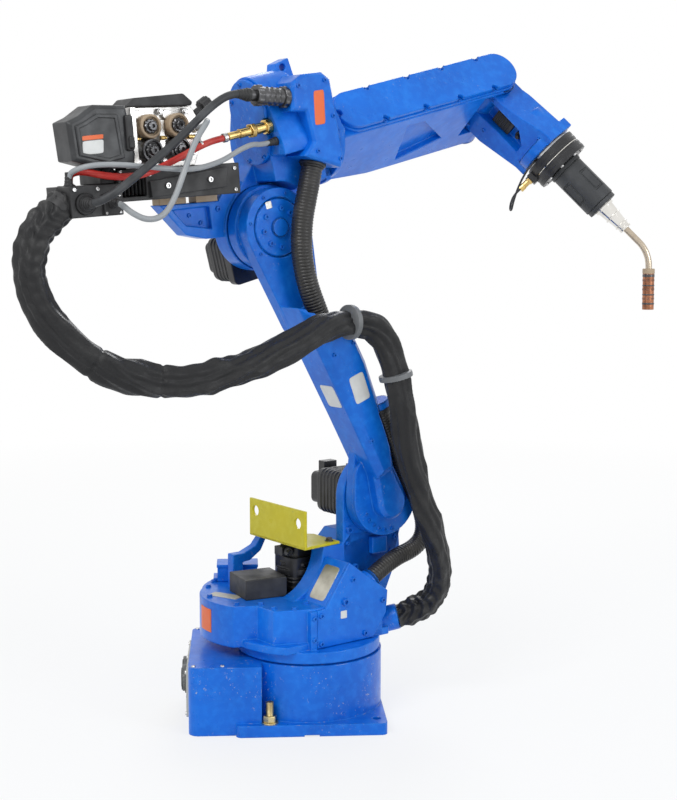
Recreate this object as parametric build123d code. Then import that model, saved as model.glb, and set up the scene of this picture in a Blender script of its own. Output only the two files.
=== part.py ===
from build123d import *
import os
from math import radians, tan, cos, sin

os.makedirs("parts", exist_ok=True)

# Six-axis arc-welding arm with its wire feeder, dress pack and torch.
# Millimetres, Z up, origin on the swing axis at the floor, connector box towards -X.
# Each body is modelled in its own frame and then set at its rest pose:
# X forward, Y to the robot's left (the far side), Z up or along the link.

# Links
swing_offset = 155.0       # swing axis to shoulder axis, forward
shoulder_height = 450.0    # floor to shoulder axis
lower_arm_length = 614.0   # shoulder axis to elbow axis
forearm_offset = 150.0     # elbow axis up to the forearm's roll axis
forearm_length = 640.0     # elbow plane to wrist axis, along the roll axis
wrist_length = 200.0       # wrist axis to tool flange

# Rest pose, degrees
swing_angle = 34.0
lean_angle = -24.0
rise_angle = 14.3
roll_angle = 35.0
bend_angle = 75.0
tool_angle = -38.7

# Clearances
joint_gap = 3.0            # between the faces of two turning castings
seat_gap = 0.3             # between the bearing faces of two turning castings
bearing_inset = 12.0       # how far a bearing face lies inside the edge of its casting

# Base
base_radius = 152.0
base_height = 140.0
foot_thick = 24.0
foot_half_x = 152.0
foot_half_y = 165.0
foot_corner = 12.0
foot_notch = 30.0
bolt_half = 132.0          # anchor bolts, half their spacing both ways
bolt_hole = 18.0
box_back = 247.0
box_front = 100.0
box_half_y = 150.0
box_round = 22.0
panel_thick = 5.0
panel_width = 220.0
panel_height = 100.0

# Turret
turret_floor = 165.0
turret_top = 250.0
neck_radius = 149.0
flange_radius = 168.0
flange_thick = 16.0
wing_near = 105.0
wing_far = 32.0
cover_thick = 8.0
bracket_near = 32.0
bracket_thick = 26.0
bracket_radius = 86.0
shoulder_block_top = 354.0
swing_motor_radius = 42.0
swing_motor_x = 17.0
swing_motor_y = 58.0
swing_motor_top = 348.0
shoulder_motor_half = 55.0
shoulder_motor_length = 145.0
shoulder_motor_drop = 8.0

# Lower arm
joint_disc_radius = 84.0
shoulder_disc_near = 57.0
arm_near = 110.0
arm_far = 20.0
stem_top = 445.0
elbow_disc_near = 5.0
elbow_disc_thick = 27.0

# Upper arm
elbow_ring_thick = 42.0
housing_back = 10.0
housing_front = 145.0
roll_radius = 92.0
hump_radius = 62.0
hump_height = 233.0
elbow_motor_half = 50.0
elbow_motor_length = 120.0
deck_bottom = 96.0

# Forearm
cover_near = 65.0
cover_half = 44.0
fork_inner_near = 40.0
fork_inner_far = 88.0
forearm_far = 147.0
forearm_half = 48.0
cover_start = 178.0

# Wrist and tool
wrist_near = 36.0
wrist_far = 84.0
hub_radius = 46.0
wrist_radius = 65.0
tool_flange_radius = 50.0
flange_length = 6.0
torch_bend_radius = 75.0
torch_bend_angle = 45.0


def save(name, *solids):
    """Write one node's solids to its own STEP file."""
    export_step(Compound(children=list(solids)) if len(solids) > 1 else solids[0], f"parts/{name}.step")


def block(x0, x1, y0, y1, z0, z1):
    """A box between two opposite corners."""
    return Pos((x0 + x1) / 2, (y0 + y1) / 2, (z0 + z1) / 2) * Box(x1 - x0, y1 - y0, z1 - z0)


def plate_y(face, near, far):
    """A face drawn in X and Z, given depth from y = near to y = far."""
    plane = Plane(origin=(0, far, 0), x_dir=(1, 0, 0), z_dir=(0, -1, 0))
    return extrude(plane * face, amount=far - near)


def plate_z(face, low, high):
    """A face drawn in X and Y, raised from z = low to z = high."""
    return extrude(Plane.XY.offset(low) * face, amount=high - low)


def plate_x(face, back, front):
    """A face drawn in Y and Z, given length from x = back to x = front."""
    return extrude(Plane.YZ.offset(back) * face, amount=front - back)


def polygon(*points):
    """A closed flat outline."""
    return make_face(Polyline(*points, close=True))


def belt(a, ra, b, rb):
    """The outline round two circles, as a belt would run."""
    return make_hull((Pos(*a) * Circle(ra)).edges() + (Pos(*b) * Circle(rb)).edges())


def rod(start, direction, radius, length):
    """A round bar from a point along a direction."""
    return extrude(Plane(origin=start, z_dir=direction) * Circle(radius), amount=length)


# Where each body stands at rest
at_turret = Location((0, 0, 0), (0, 0, swing_angle))
at_lower = at_turret * Location((swing_offset, 0, shoulder_height), (0, lean_angle, 0))
at_upper = at_lower * Location((0, 0, lower_arm_length), (0, -rise_angle - lean_angle, 0))
at_forearm = at_upper * Location((0, 0, forearm_offset), (-roll_angle, 0, 0))
at_wrist = at_forearm * Location((forearm_length, 0, 0), (0, bend_angle, 0))
at_tool = at_wrist * Location((wrist_length, 0, 0), (tool_angle, 0, 0))


# Base: foot plate, drum and connector box cast in one
def base_casting():
    foot = plate_z(RectangleRounded(2 * foot_half_x, 2 * foot_half_y, foot_corner), 0, foot_thick)
    foot -= plate_z(Rectangle(foot_notch, 3 * foot_half_y), -1, 3)
    drum = plate_z(Circle(base_radius), 0, base_height)
    box = block(-box_back, -box_front, -box_half_y, box_half_y, 0, base_height)
    box = fillet(box.edges().filter_by(Axis.Z).group_by(Axis.X)[0], box_round)
    bearing = plate_z(Circle(base_radius - bearing_inset), base_height, base_height + joint_gap - seat_gap)
    body = foot + drum + box + bearing
    holes = [Pos(x, y, 0) * Cylinder(bolt_hole / 2, 3 * foot_thick)
             for x in (-bolt_half, bolt_half) for y in (-bolt_half, bolt_half)]
    for hole in holes:
        body -= hole
    return body


save("base_casting", base_casting())

rear_panel = plate_x(RectangleRounded(panel_width, panel_height, 8), -box_back - panel_thick, -box_back)
save("rear_connector_panel", Pos(0, 0, base_height / 2 + 5) * rear_panel)

sockets = []
for y, r, length in ((-80, 10, 18), (-45, 17, 26), (5, 24, 30), (70, 24, 30)):
    sockets.append(rod((-box_back - panel_thick, y, base_height / 2 + 12), (-1, 0, 0), r, length))
save("rear_connectors", *sockets)


# Turret: neck, drum and wing cast in one, with the shoulder bracket
turret_outline = (
    (110, -wing_near), (-60, -wing_near), (-146, -70), (-150, -26), (-182, -14),
    (-209, 40), (-210, 100), (-188, 145), (-145, 185), (-100, 225), (-15, 252), (60, 215), (120, 150), (150, 90),
    (160, 20),
)


def turret_casting():
    neck = plate_z(Circle(neck_radius), base_height + joint_gap, turret_floor + 2)
    ring = plate_z(Circle(flange_radius), turret_floor, turret_floor + flange_thick)
    ring -= block(-300, 300, -300, -wing_near, 0, turret_top)
    drum = plate_z(polygon(*turret_outline), turret_floor, turret_top)
    wing = plate_y(polygon((-60, turret_floor), (-60, turret_top), (-38, turret_top + 2), (22, 334),
                           (38, 322), (122, 262), (118, 216), (84, turret_floor)), -wing_near, -wing_far)
    block_outline = polygon((15, turret_floor), (15, shoulder_block_top), (66, shoulder_block_top),
                            (80, shoulder_block_top + 14), (215, shoulder_block_top + 14), (215, 300),
                            (150, turret_floor))
    shoulder = plate_y(block_outline, -bracket_near, 60)
    ear = plate_y(belt((swing_offset, shoulder_height), bracket_radius,
                       (swing_offset - 16, shoulder_block_top - 20), bracket_radius - 16),
                  -bracket_near, bracket_thick - bracket_near)
    bearing = plate_y(Pos(swing_offset, shoulder_height) * Circle(joint_disc_radius - bearing_inset),
                      -bracket_near - joint_gap + seat_gap, -bracket_near)
    motor_room = rod((swing_motor_x, swing_motor_y, turret_top), (0, 0, 1), swing_motor_radius + joint_gap, 200)
    return neck + ring + drum + wing + shoulder + ear + bearing - motor_room


save("turret_casting", at_turret * turret_casting())

cover_outline = polygon((-60, 168), (-60, 246), (-38, 248), (22, 334), (38, 322), (122, 262), (118, 216), (84, 168))
wing_cover = plate_y(cover_outline, -wing_near - cover_thick, -wing_near)
save("turret_side_cover", at_turret * wing_cover)

swing_motor = rod((swing_motor_x, swing_motor_y, turret_top), (0, 0, 1), swing_motor_radius, swing_motor_top - turret_top)
save("swing_motor", at_turret * swing_motor)

motor_back = bracket_thick - bracket_near
shoulder_motor = plate_y(RectangleRounded(2 * shoulder_motor_half, 2 * shoulder_motor_half, 18),
                         motor_back, motor_back + shoulder_motor_length)
save("shoulder_motor", at_turret * Pos(swing_offset, 0, shoulder_height - shoulder_motor_drop) * shoulder_motor)

stop_block = Rot(0, 0, -12) * block(-46, 46, -46, 46, 0, 42)
save("stop_block", at_turret * Pos(-76, 67, turret_top) * stop_block)
cable_box = Rot(0, 0, -swing_angle) * block(-43, 43, -28, 28, 0, 38)
save("turret_cable_box", at_turret * Pos(-38, 200, turret_top) * cable_box)

bracket_plate = 5.0
yellow = (block(-38, -38 + bracket_plate, -40, 160, 354, 435)
          + block(-38, 60, -40, 160, 354, 354 + bracket_plate))
save("lifting_bracket", at_turret * yellow)
save("hose_lug", at_turret * block(130, 168, -100, -60, turret_floor + flange_thick, 216))


# Lower arm: two joint discs and the hollow stem between them
def lower_arm():
    foot = plate_y(Circle(joint_disc_radius), -shoulder_disc_near, -bracket_near - joint_gap)
    stem = loft([Plane.XY.offset(z) * Pos((a + b) / 2, -(arm_near + arm_far) / 2) *
                 RectangleRounded(b - a, arm_near - arm_far, 14)
                 for z, a, b in ((95, -26, 42), (250, -40, 32), (stem_top, -58, 30))])
    shin = plate_y(belt((0, 0), 60, (4, 130), 32), -arm_near + 8, -shoulder_disc_near)
    neck = plate_y(belt((-14, stem_top - 30), 44, (0, lower_arm_length), joint_disc_radius - 10),
                   -arm_far - 14, elbow_disc_thick - elbow_disc_near - 8)
    disc = plate_y(Pos(0, lower_arm_length) * Circle(joint_disc_radius),
                   -elbow_disc_near, elbow_disc_thick - elbow_disc_near)
    return foot + stem + shin + neck + disc


save("lower_arm_casting", at_lower * lower_arm())


# Upper arm: elbow ring, roll housing and the covers on it
def upper_arm():
    inner = elbow_disc_thick - elbow_disc_near + joint_gap
    ring = plate_y(Circle(joint_disc_radius + 3), inner, inner + elbow_ring_thick)
    web = plate_y(belt((0, 0), joint_disc_radius + 3, (88, 120), 56), inner, inner + elbow_ring_thick)
    housing = plate_x(belt((0, forearm_offset), roll_radius, (-5, hump_height), hump_radius),
                      housing_back, housing_front)
    disc_room = plate_y(Circle(joint_disc_radius + 6), -200, inner)
    bearing = plate_y(Circle(joint_disc_radius - bearing_inset), inner - joint_gap + seat_gap, inner)
    roll_bearing = plate_x(Pos(0, forearm_offset) * Circle(roll_radius - bearing_inset),
                           housing_front, housing_front + joint_gap - seat_gap)
    shelf = plate_y(polygon((-40, 20), (-75, 0), (-140, 16), (-172, 29), (-240, deck_bottom), (-40, deck_bottom)),
                    inner + 4, inner + elbow_ring_thick)
    return ring + web + shelf + housing - disc_room + bearing + roll_bearing


save("upper_arm_housing", at_upper * upper_arm())

rear_cover = plate_x(belt((0, forearm_offset + 32), roll_radius - 34, (-5, hump_height), hump_radius - 4),
                     housing_back - 8, housing_back)
save("housing_rear_cover", at_upper * rear_cover)

junction_box = plate_y(polygon((50, 128), (50, 268), (128, 276), (143, 258), (143, 112), (112, 90), (72, 108)),
                       -108, -roll_radius)
save("junction_box", at_upper * junction_box)

elbow_motor_y = elbow_disc_thick - elbow_disc_near + joint_gap + elbow_ring_thick
elbow_motor = plate_y(RectangleRounded(2 * elbow_motor_half, 2 * elbow_motor_half, 16),
                      elbow_motor_y, elbow_motor_y + elbow_motor_length)
save("elbow_motor", at_upper * Pos(-14, 0, -56) * elbow_motor)

feeder_deck = block(-330, -80, -50, 60, deck_bottom, deck_bottom + 8)
save("feeder_deck", at_upper * feeder_deck)
feeder_plate = block(-285, -140, -20, -8, 104, 300)
save("feeder_plate", at_upper * feeder_plate)
feeder_cover = block(-410, -285, -60, 60, 190, 308)
save("feeder_cover", at_upper * feeder_cover)


# Forearm
def forearm_casting():
    start = housing_front + joint_gap
    root = plate_x(Circle(roll_radius - 2), start, start + 14)
    outline = polygon((start, -80), (cover_start - 6, -fork_inner_near - 6), (forearm_length, -fork_inner_near - 6),
                      (forearm_length, forearm_far), (400, forearm_far), (start + 60, 112), (start, 90))
    body = plate_z(outline, -forearm_half, forearm_half)
    body -= block(forearm_length - 62, forearm_length + 100, -fork_inner_near, fork_inner_far, -100, 100)
    ends = rod((forearm_length, fork_inner_far, 0), (0, 1, 0), forearm_half, forearm_far - fork_inner_far)
    near = rod((forearm_length, -fork_inner_near - 6, 0), (0, 1, 0), forearm_half, 6)
    bosses = [rod((forearm_length, -fork_inner_near, 0), (0, 1, 0), hub_radius - bearing_inset,
                  fork_inner_near - wrist_near - seat_gap),
              rod((forearm_length, wrist_far + seat_gap, 0), (0, 1, 0), hub_radius - bearing_inset,
                  fork_inner_far - wrist_far - seat_gap)]
    return root + body + ends + near + bosses[0] + bosses[1]


save("forearm_casting", at_forearm * forearm_casting())

cover = plate_y(belt((cover_start + cover_half, 0), cover_half, (forearm_length, 0), cover_half),
                -cover_near, -fork_inner_near - 6)
save("forearm_cover", at_forearm * cover)


# Wrist
def wrist_casting():
    hub = rod((0, -wrist_near, 0), (0, 1, 0), hub_radius, wrist_near + wrist_far)
    arms = block(0, 120, -wrist_near, wrist_far, -42, 42)
    body = rod((110, 0, 0), (1, 0, 0), wrist_radius, wrist_length - flange_length - 110)
    return hub + arms + body


save("wrist_casting", at_wrist * wrist_casting())


# Tool: flange, shock sensor, torch body, cone, neck and nozzle
flange = rod((-flange_length + seat_gap, 0, 0), (1, 0, 0), tool_flange_radius, flange_length - seat_gap)
save("tool_flange", at_tool * flange)
sensor = rod((0, 0, 0), (1, 0, 0), 62, 20) + rod((20, 0, 0), (1, 0, 0), 58, 4) + rod((24, 0, 0), (1, 0, 0), 62, 22)
save("shock_sensor", at_tool * sensor)
save("torch_body", at_tool * rod((46, 0, 0), (1, 0, 0), 37, 122))
cone = Plane(origin=(168, 0, 0), z_dir=(1, 0, 0)) * Pos(0, 0, 35) * Cone(20, 12, 70)
save("torch_cone", at_tool * cone)

neck_start = (238.0, 0.0)
bend = radians(torch_bend_angle)
straight = 40.0
tail = 6.0
knee = torch_bend_radius * tan(bend / 2)
neck_path = FilletPolyline(
    (neck_start[0], 0, 0), (neck_start[0] + straight + knee, 0, 0),
    (neck_start[0] + straight + knee + (knee + tail) * cos(bend), (knee + tail) * sin(bend), 0),
    radius=torch_bend_radius)
neck = sweep(Plane(origin=(neck_start[0], 0, 0), z_dir=(1, 0, 0)) * Circle(7), path=neck_path)
save("torch_neck", at_tool * neck)
neck_end = neck_path @ 1
nozzle = rod(neck_end, (cos(bend), sin(bend), 0), 12.5, 88)
save("nozzle", at_tool * nozzle)
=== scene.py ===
"""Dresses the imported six-axis welding arm: paint, metals, cords, screws, plates and the studio round it.

Lengths in the classes are millimetres in the frame of the body that a piece belongs to, as in the model;
`Place` turns them into metres in the shared frame.
"""

import logging
import math
from dataclasses import dataclass
from enum import Enum
from typing import ClassVar, Iterable, List, Optional, Sequence, Tuple

import bmesh
import bpy
import numpy as np
from mathutils import Matrix, Vector

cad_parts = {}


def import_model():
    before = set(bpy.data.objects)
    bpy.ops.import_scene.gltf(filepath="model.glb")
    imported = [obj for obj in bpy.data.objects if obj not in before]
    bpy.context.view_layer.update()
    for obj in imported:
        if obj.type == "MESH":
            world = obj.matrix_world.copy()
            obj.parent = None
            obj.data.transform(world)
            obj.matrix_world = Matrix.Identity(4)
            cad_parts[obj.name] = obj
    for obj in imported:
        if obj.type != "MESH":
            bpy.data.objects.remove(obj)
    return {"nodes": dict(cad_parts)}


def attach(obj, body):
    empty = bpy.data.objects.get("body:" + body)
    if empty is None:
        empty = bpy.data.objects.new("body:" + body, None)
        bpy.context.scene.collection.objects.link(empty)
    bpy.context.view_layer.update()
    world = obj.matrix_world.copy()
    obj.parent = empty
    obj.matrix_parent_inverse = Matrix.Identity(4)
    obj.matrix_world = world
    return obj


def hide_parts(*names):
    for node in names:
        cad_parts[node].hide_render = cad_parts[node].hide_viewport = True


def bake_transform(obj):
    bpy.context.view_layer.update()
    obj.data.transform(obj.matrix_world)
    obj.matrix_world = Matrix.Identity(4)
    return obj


LOG = logging.getLogger("welding_arm")
MM = 0.001
Point = Tuple[float, float, float]
Colour = Tuple[float, float, float]
FRONT: Point = (0, -1, 0)
REAR: Point = (0, 1, 0)
AHEAD: Point = (1, 0, 0)
BEHIND: Point = (-1, 0, 0)
UP: Point = (0, 0, 1)
DOWN: Point = (0, 0, -1)
PLUG_SEAT: Point = (41.5, -88, 244)
PLUG_LEAN: Point = (-0.967, 0, 0.255)
MOUTH: Point = (-280, -24, 20)
MOUTH_LEAN: Point = (-0.8, 0, -0.6)
GLAND: Point = (84, -80, 272)
GLAND_LEAN: Point = (0.85, 0, 0.53)
LUG: Point = (120, -59, 181)
LUG_LEAN: Point = (0.778, -0.578, 0.244)
KNOB: Point = (7.1, -14, 167)
KNOB_LEAN: Point = (0.857, 0, 0.514)
ROUTE_POINTS = 700
SLEEVE_COLUMNS = 112
CONDUIT_COLUMNS = 40
RIB_STEPS = 8
BEVEL_ANGLE = 33
FLOOR_HALF = 14.0


# Places

def turned(angle: float, axis: str) -> Matrix:
    """A turn about one axis, in degrees."""
    return Matrix.Rotation(math.radians(angle), 4, axis)


def moved(x: float, y: float, z: float) -> Matrix:
    """A shift in millimetres."""
    return Matrix.Translation((x * MM, y * MM, z * MM))


class Place:
    """The frame of each body at rest, the same as in the model."""

    base = Matrix.Identity(4)
    turret = turned(34.0, "Z")
    lower = turret @ moved(155, 0, 450) @ turned(-24.0, "Y")
    upper = lower @ moved(0, 0, 614) @ turned(9.7, "Y")
    feeder = upper @ moved(-160, 0, 88) @ turned(10.0, "Y")
    forearm = upper @ moved(0, 0, 150) @ turned(-35.0, "X")
    wrist = forearm @ moved(640, 0, 0) @ turned(75.0, "Y")
    tool = wrist @ moved(200, 0, 0) @ turned(-38.7, "X")


def in_world(frame: Matrix, points: np.ndarray) -> np.ndarray:
    """Millimetre points of a body's frame as metres in the shared frame.

    Args:
        frame: the body's frame.
        points: an array whose last axis is x, y, z.

    Returns:
        An array of the same shape.
    """
    turn = np.array(frame.to_3x3())
    return np.asarray(points, float) * MM @ turn.T + np.array(frame.translation)


def aimed(frame: Matrix, point: Point, axis: Point, turn: float = 0.0) -> Matrix:
    """A frame whose Z points along an axis.

    Args:
        frame: the body's frame.
        point: the new origin in it, in millimetres.
        axis: the way that the new Z points, in the body's frame.
        turn: degrees about that axis.

    Returns:
        The new frame, in metres.
    """
    look = Vector(axis).to_track_quat("Z", "Y").to_matrix().to_4x4()
    return frame @ moved(*point) @ look @ turned(turn, "Z")


def ahead(start: Point, axis: Point, distance: float) -> Point:
    """The point a distance along an axis."""
    return tuple(Vector(start) + Vector(axis).normalized() * distance)


# Meshes

class Outline(Enum):
    """The closed outline that a turned piece has across its axis."""

    ROUND = "round"
    HEX = "hex"
    SLAB = "slab"
    LOBED = "lobed"

    def points(self, count: int) -> np.ndarray:
        """Unit outline points by angle: a circle, a hexagon, a rounded square or a fluted circle.

        The hexagon's reach at an angle is 1 over the cosine of the angle to the middle of its side. The
        slab is a
        superellipse of power 9, and the lobed one a circle with ten shallow waves.

        Args:
            count: how many points.

        Returns:
            A (count, 2) array.
        """
        angle = np.linspace(0, 2 * np.pi, count, endpoint=False)
        circle = np.stack([np.cos(angle), np.sin(angle)], 1)
        if self is Outline.HEX:
            side = np.mod(angle, np.pi / 3) - np.pi / 6
            return circle * (math.cos(math.pi / 6) / np.cos(side))[:, None]
        if self is Outline.SLAB:
            return np.sign(circle) * np.abs(circle) ** (2 / 9)
        if self is Outline.LOBED:
            return circle * (1 + 0.06 * np.cos(10 * angle))[:, None]
        return circle


@dataclass(frozen=True)
class Ring:
    """One ring of a turned piece: its two half widths, its height and its outline."""

    wide: float
    deep: float
    height: float
    outline: Outline = Outline.ROUND


def rings(*steps: Tuple[float, float], outline: Outline = Outline.ROUND) -> List[Ring]:
    """Rings of one outline from pairs of radius and height."""
    return [Ring(radius, radius, height, outline) for radius, height in steps]


def turned_grid(steps: Sequence[Ring], count: int = 24) -> np.ndarray:
    """A turned surface: at each step the outline, scaled by the ring, at the ring's height.

    Args:
        steps: the rings from the seat outwards.
        count: points round each ring.

    Returns:
        A (steps, count, 3) array in millimetres.
    """
    grid = np.empty((len(steps), count, 3))
    for row, ring in enumerate(steps):
        grid[row, :, :2] = ring.outline.points(count) * (ring.wide, ring.deep)
        grid[row, :, 2] = ring.height
    return grid


def grid_faces(rows: int, columns: int) -> Tuple[np.ndarray, np.ndarray]:
    """Faces of a grid whose columns close on themselves, with a fan at each end.

    Corner (i, j) is joined to (i, j + 1), (i + 1, j + 1) and (i + 1, j); the two vertices after the grid
    are the
    middles of its first and last ring.

    Args:
        rows: rings.
        columns: points in each ring.

    Returns:
        The quads and the triangles.
    """
    i, j = np.meshgrid(np.arange(rows - 1), np.arange(columns), indexing="ij")
    k = (j + 1) % columns
    quads = np.stack([i * columns + j, i * columns + k, (i + 1) * columns + k, (i + 1) * columns + j], -1)
    j = np.arange(columns)
    k = (j + 1) % columns
    first, last = rows * columns, rows * columns + 1
    start = np.stack([k, j, np.full(columns, first)], -1)
    end = np.stack([(rows - 1) * columns + j, (rows - 1) * columns + k, np.full(columns, last)], -1)
    return quads.reshape(-1, 4), np.concatenate([start, end])


def mesh_piece(name: str, grids: Iterable[np.ndarray], sharp: float = 32.0) -> bpy.types.Object:
    """One object from closed grids, already in metres in the shared frame.

    Args:
        name: the object's name.
        grids: (rows, columns, 3) arrays; each becomes a closed shell.
        sharp: degrees above which an edge stays sharp.

    Returns:
        The new object.
    """
    points: List[np.ndarray] = []
    faces: List[List[int]] = []
    offset = 0
    for grid in grids:
        rows, columns, _ = grid.shape
        shell = np.concatenate([grid.reshape(-1, 3), grid[:1].mean(1), grid[-1:].mean(1)])
        quads, fans = grid_faces(rows, columns)
        faces += (quads + offset).tolist() + (fans + offset).tolist()
        points.append(shell)
        offset += len(shell)
    mesh = bpy.data.meshes.new(name)
    mesh.from_pydata(np.concatenate(points).tolist(), [], faces)
    mesh.update()
    mesh.shade_smooth()
    mesh.set_sharp_from_angle(angle=math.radians(sharp))
    piece = bpy.data.objects.new(name, mesh)
    bpy.context.scene.collection.objects.link(piece)
    return piece


def finish_piece(piece: bpy.types.Object, body: str, material: bpy.types.Material) -> None:
    """Gives a piece its material and body and reports it.

    Args:
        piece: the object.
        body: the CAD body that it rides on.
        material: its finish.
    """
    piece.data.materials.clear()
    piece.data.materials.append(material)
    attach(piece, body)
    LOG.info("piece %s on %s", piece.name, body)


@dataclass(frozen=True)
class Turned:
    """A turned piece: rings along an axis from a point in a body's frame."""

    frame: Matrix
    point: Point
    axis: Point
    steps: Tuple[Ring, ...]
    turn: float = 0.0
    count: int = 32

    def grid(self) -> np.ndarray:
        """The piece's surface in metres."""
        return in_world(aimed(self.frame, self.point, self.axis, self.turn),
                        turned_grid(self.steps, self.count))


class ScrewHead(Enum):
    """The heads that hold the covers and joints."""

    SOCKET = "socket"
    HEX = "hex"
    PAN = "pan"

    def steps(self, radius: float) -> List[Ring]:
        """The head's rings for its radius: a socket is a cylinder with a six-sided well, a hex head has a
        washer."""
        if self is ScrewHead.SOCKET:
            return [*rings((radius, -1.5), (radius, 0.62 * radius), (0.9 * radius, 0.78 * radius)),
                    Ring(0.58 * radius, 0.58 * radius, 0.78 * radius, Outline.HEX),
                    Ring(0.54 * radius, 0.54 * radius, 0.2 * radius, Outline.HEX)]
        if self is ScrewHead.HEX:
            return [*rings((1.25 * radius, -1.5), (1.25 * radius, 0.2 * radius),
                           (1.02 * radius, 0.24 * radius)),
                    Ring(1.05 * radius, 1.05 * radius, 0.25 * radius, Outline.HEX),
                    Ring(1.05 * radius, 1.05 * radius, 0.8 * radius, Outline.HEX),
                    Ring(0.9 * radius, 0.9 * radius, 0.95 * radius, Outline.HEX)]
        return rings((radius, -1.5), (radius, 0.2 * radius), (0.82 * radius, 0.5 * radius),
                     (0.4 * radius, 0.62 * radius))


@dataclass(frozen=True)
class Screws:
    """Screw heads of one kind on one body, as one piece.

    Each place is x, y, z and the head's radius, and all point along one axis of the body's frame.
    """

    name: str
    body: str
    frame: Matrix
    axis: Point
    head: ScrewHead
    places: Tuple[Tuple[float, float, float, float], ...]

    def build(self, material: bpy.types.Material) -> None:
        """Makes the heads and rides them on their body.

        Args:
            material: their finish.
        """
        grids = []
        for index, (x, y, z, radius) in enumerate(self.places):
            turn = 37.0 * index
            grids.append(Turned(self.frame, (x, y, z), self.axis, tuple(self.head.steps(radius)), turn,
                                24).grid())
        finish_piece(mesh_piece(self.name, grids), self.body, material)


@dataclass(frozen=True)
class BlankPlate:
    """A plain thin plate fixed flat on a face: its middle, its two half sides as vectors, and its
    thickness."""

    name: str
    body: str
    frame: Matrix
    middle: Point
    half_u: Point
    half_v: Point
    thick: float = 0.8

    def build(self, material: bpy.types.Material) -> None:
        """Makes the plate: a rounded rectangle, its rim a little inside its foot.

        Args:
            material: its finish.
        """
        u, v = np.array(self.half_u, float), np.array(self.half_v, float)
        across = np.cross(u, v)
        across /= np.linalg.norm(across)
        flat = Outline.SLAB.points(48)
        rows = []
        for share, height in ((1.0, -0.4), (1.0, self.thick * 0.7), (0.985, self.thick)):
            rows.append(np.array(self.middle) + share * (flat[:, :1] * u + flat[:, 1:] * v) + height * across)
        grid = in_world(self.frame, np.stack(rows))
        finish_piece(mesh_piece(self.name, [grid]), self.body, material)


# Solids

Shell = Tuple[np.ndarray, List[List[int]]]


class Across(Enum):
    """The axis of the body's frame along which a flat outline gets its depth."""

    X = 0
    Y = 1
    Z = 2


def disc(x: float, y: float, radius: float, count: int = 64) -> np.ndarray:
    """A circle's outline."""
    angle = np.linspace(0, 2 * np.pi, count, endpoint=False)
    return np.stack([x + radius * np.cos(angle), y + radius * np.sin(angle)], 1)


def arc(centre: Sequence[float], radius: float, start: float, stop: float, count: int) -> np.ndarray:
    """Points of an arc between two angles in radians."""
    angle = np.linspace(start, stop, count)
    return np.stack([centre[0] + radius * np.cos(angle), centre[1] + radius * np.sin(angle)], 1)


def belt(a: Sequence[float], ra: float, b: Sequence[float], rb: float, count: int = 36) -> np.ndarray:
    """The outline round two circles, as a belt runs.

    The tangents touch both circles at the angle whose cosine is the radii's difference over the centres'
    distance,
    measured from the line of centres.

    Args:
        a: first centre.
        ra: its radius.
        b: second centre.
        rb: its radius.
        count: points on each arc.

    Returns:
        The outline.
    """
    line = np.subtract(b, a)
    lean = math.atan2(line[1], line[0])
    touch = math.acos((ra - rb) / math.hypot(*line))
    return np.concatenate([arc(a, ra, lean + touch, lean + 2 * math.pi - touch, count),
                           arc(b, rb, lean - touch, lean + touch, count)])


def rounded(x0: float, x1: float, y0: float, y1: float, radius: float) -> np.ndarray:
    """A rectangle with round corners."""
    half = math.pi / 2
    spots = ((x1 - radius, y1 - radius), (x0 + radius, y1 - radius), (x0 + radius, y0 + radius),
             (x1 - radius, y0 + radius))
    return np.concatenate([arc(spot, radius, k * half, (k + 1) * half, 7) for k, spot in enumerate(spots)])


def through(first: Sequence[float], middle: Sequence[float], last: Sequence[float],
            count: int = 16) -> np.ndarray:
    """Points of the arc through three points: its centre is as far from the first as from the other two."""
    rows = 2 * np.array([np.subtract(middle, first), np.subtract(last, first)])
    right = [np.dot(middle, middle) - np.dot(first, first), np.dot(last, last) - np.dot(first, first)]
    centre = np.linalg.solve(rows, right)
    angles = np.unwrap([math.atan2(*(np.subtract(point, centre)[::-1])) for point in (first, middle, last)])
    return arc(centre, float(np.linalg.norm(np.subtract(first, centre))), angles[0], angles[2], count)


def outline(*parts: Sequence) -> np.ndarray:
    """One outline from single points and arcs in turn."""
    return np.concatenate([np.atleast_2d(np.array(part, float)) for part in parts])


def inset(flat: np.ndarray, distance: float) -> np.ndarray:
    """An outline moved inwards: each corner goes along the sum of its two sides' normals over 1 plus their
    dot product."""
    side = np.roll(flat, -1, 0) - flat
    side /= np.linalg.norm(side, axis=1, keepdims=True)
    area = np.sum(flat[:, 0] * np.roll(flat[:, 1], -1) - np.roll(flat[:, 0], -1) * flat[:, 1])
    normal = np.stack([-side[:, 1], side[:, 0]], 1) * np.sign(area)
    before = np.roll(normal, 1, 0)
    return flat + distance * (before + normal) / (1 + (before * normal).sum(1, keepdims=True))


def loose_piece(shell: Shell) -> bpy.types.Object:
    """An object from a closed shell, its faces turned outwards."""
    mesh = bpy.data.meshes.new("loose")
    mesh.from_pydata(shell[0].tolist(), [], shell[1])
    work = bmesh.new()
    work.from_mesh(mesh)
    bmesh.ops.recalc_face_normals(work, faces=work.faces)
    work.to_mesh(mesh)
    work.free()
    piece = bpy.data.objects.new("loose", mesh)
    bpy.context.scene.collection.objects.link(piece)
    return piece


class Solid:
    """Anything with a closed shell in millimetres of its body's frame."""

    def shell(self) -> Shell:
        """The shell's points and faces."""
        raise NotImplementedError

    def less(self, *cutters: "Solid") -> "Carved":
        """The solid with others cut from it."""
        return Carved(self, cutters)


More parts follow.
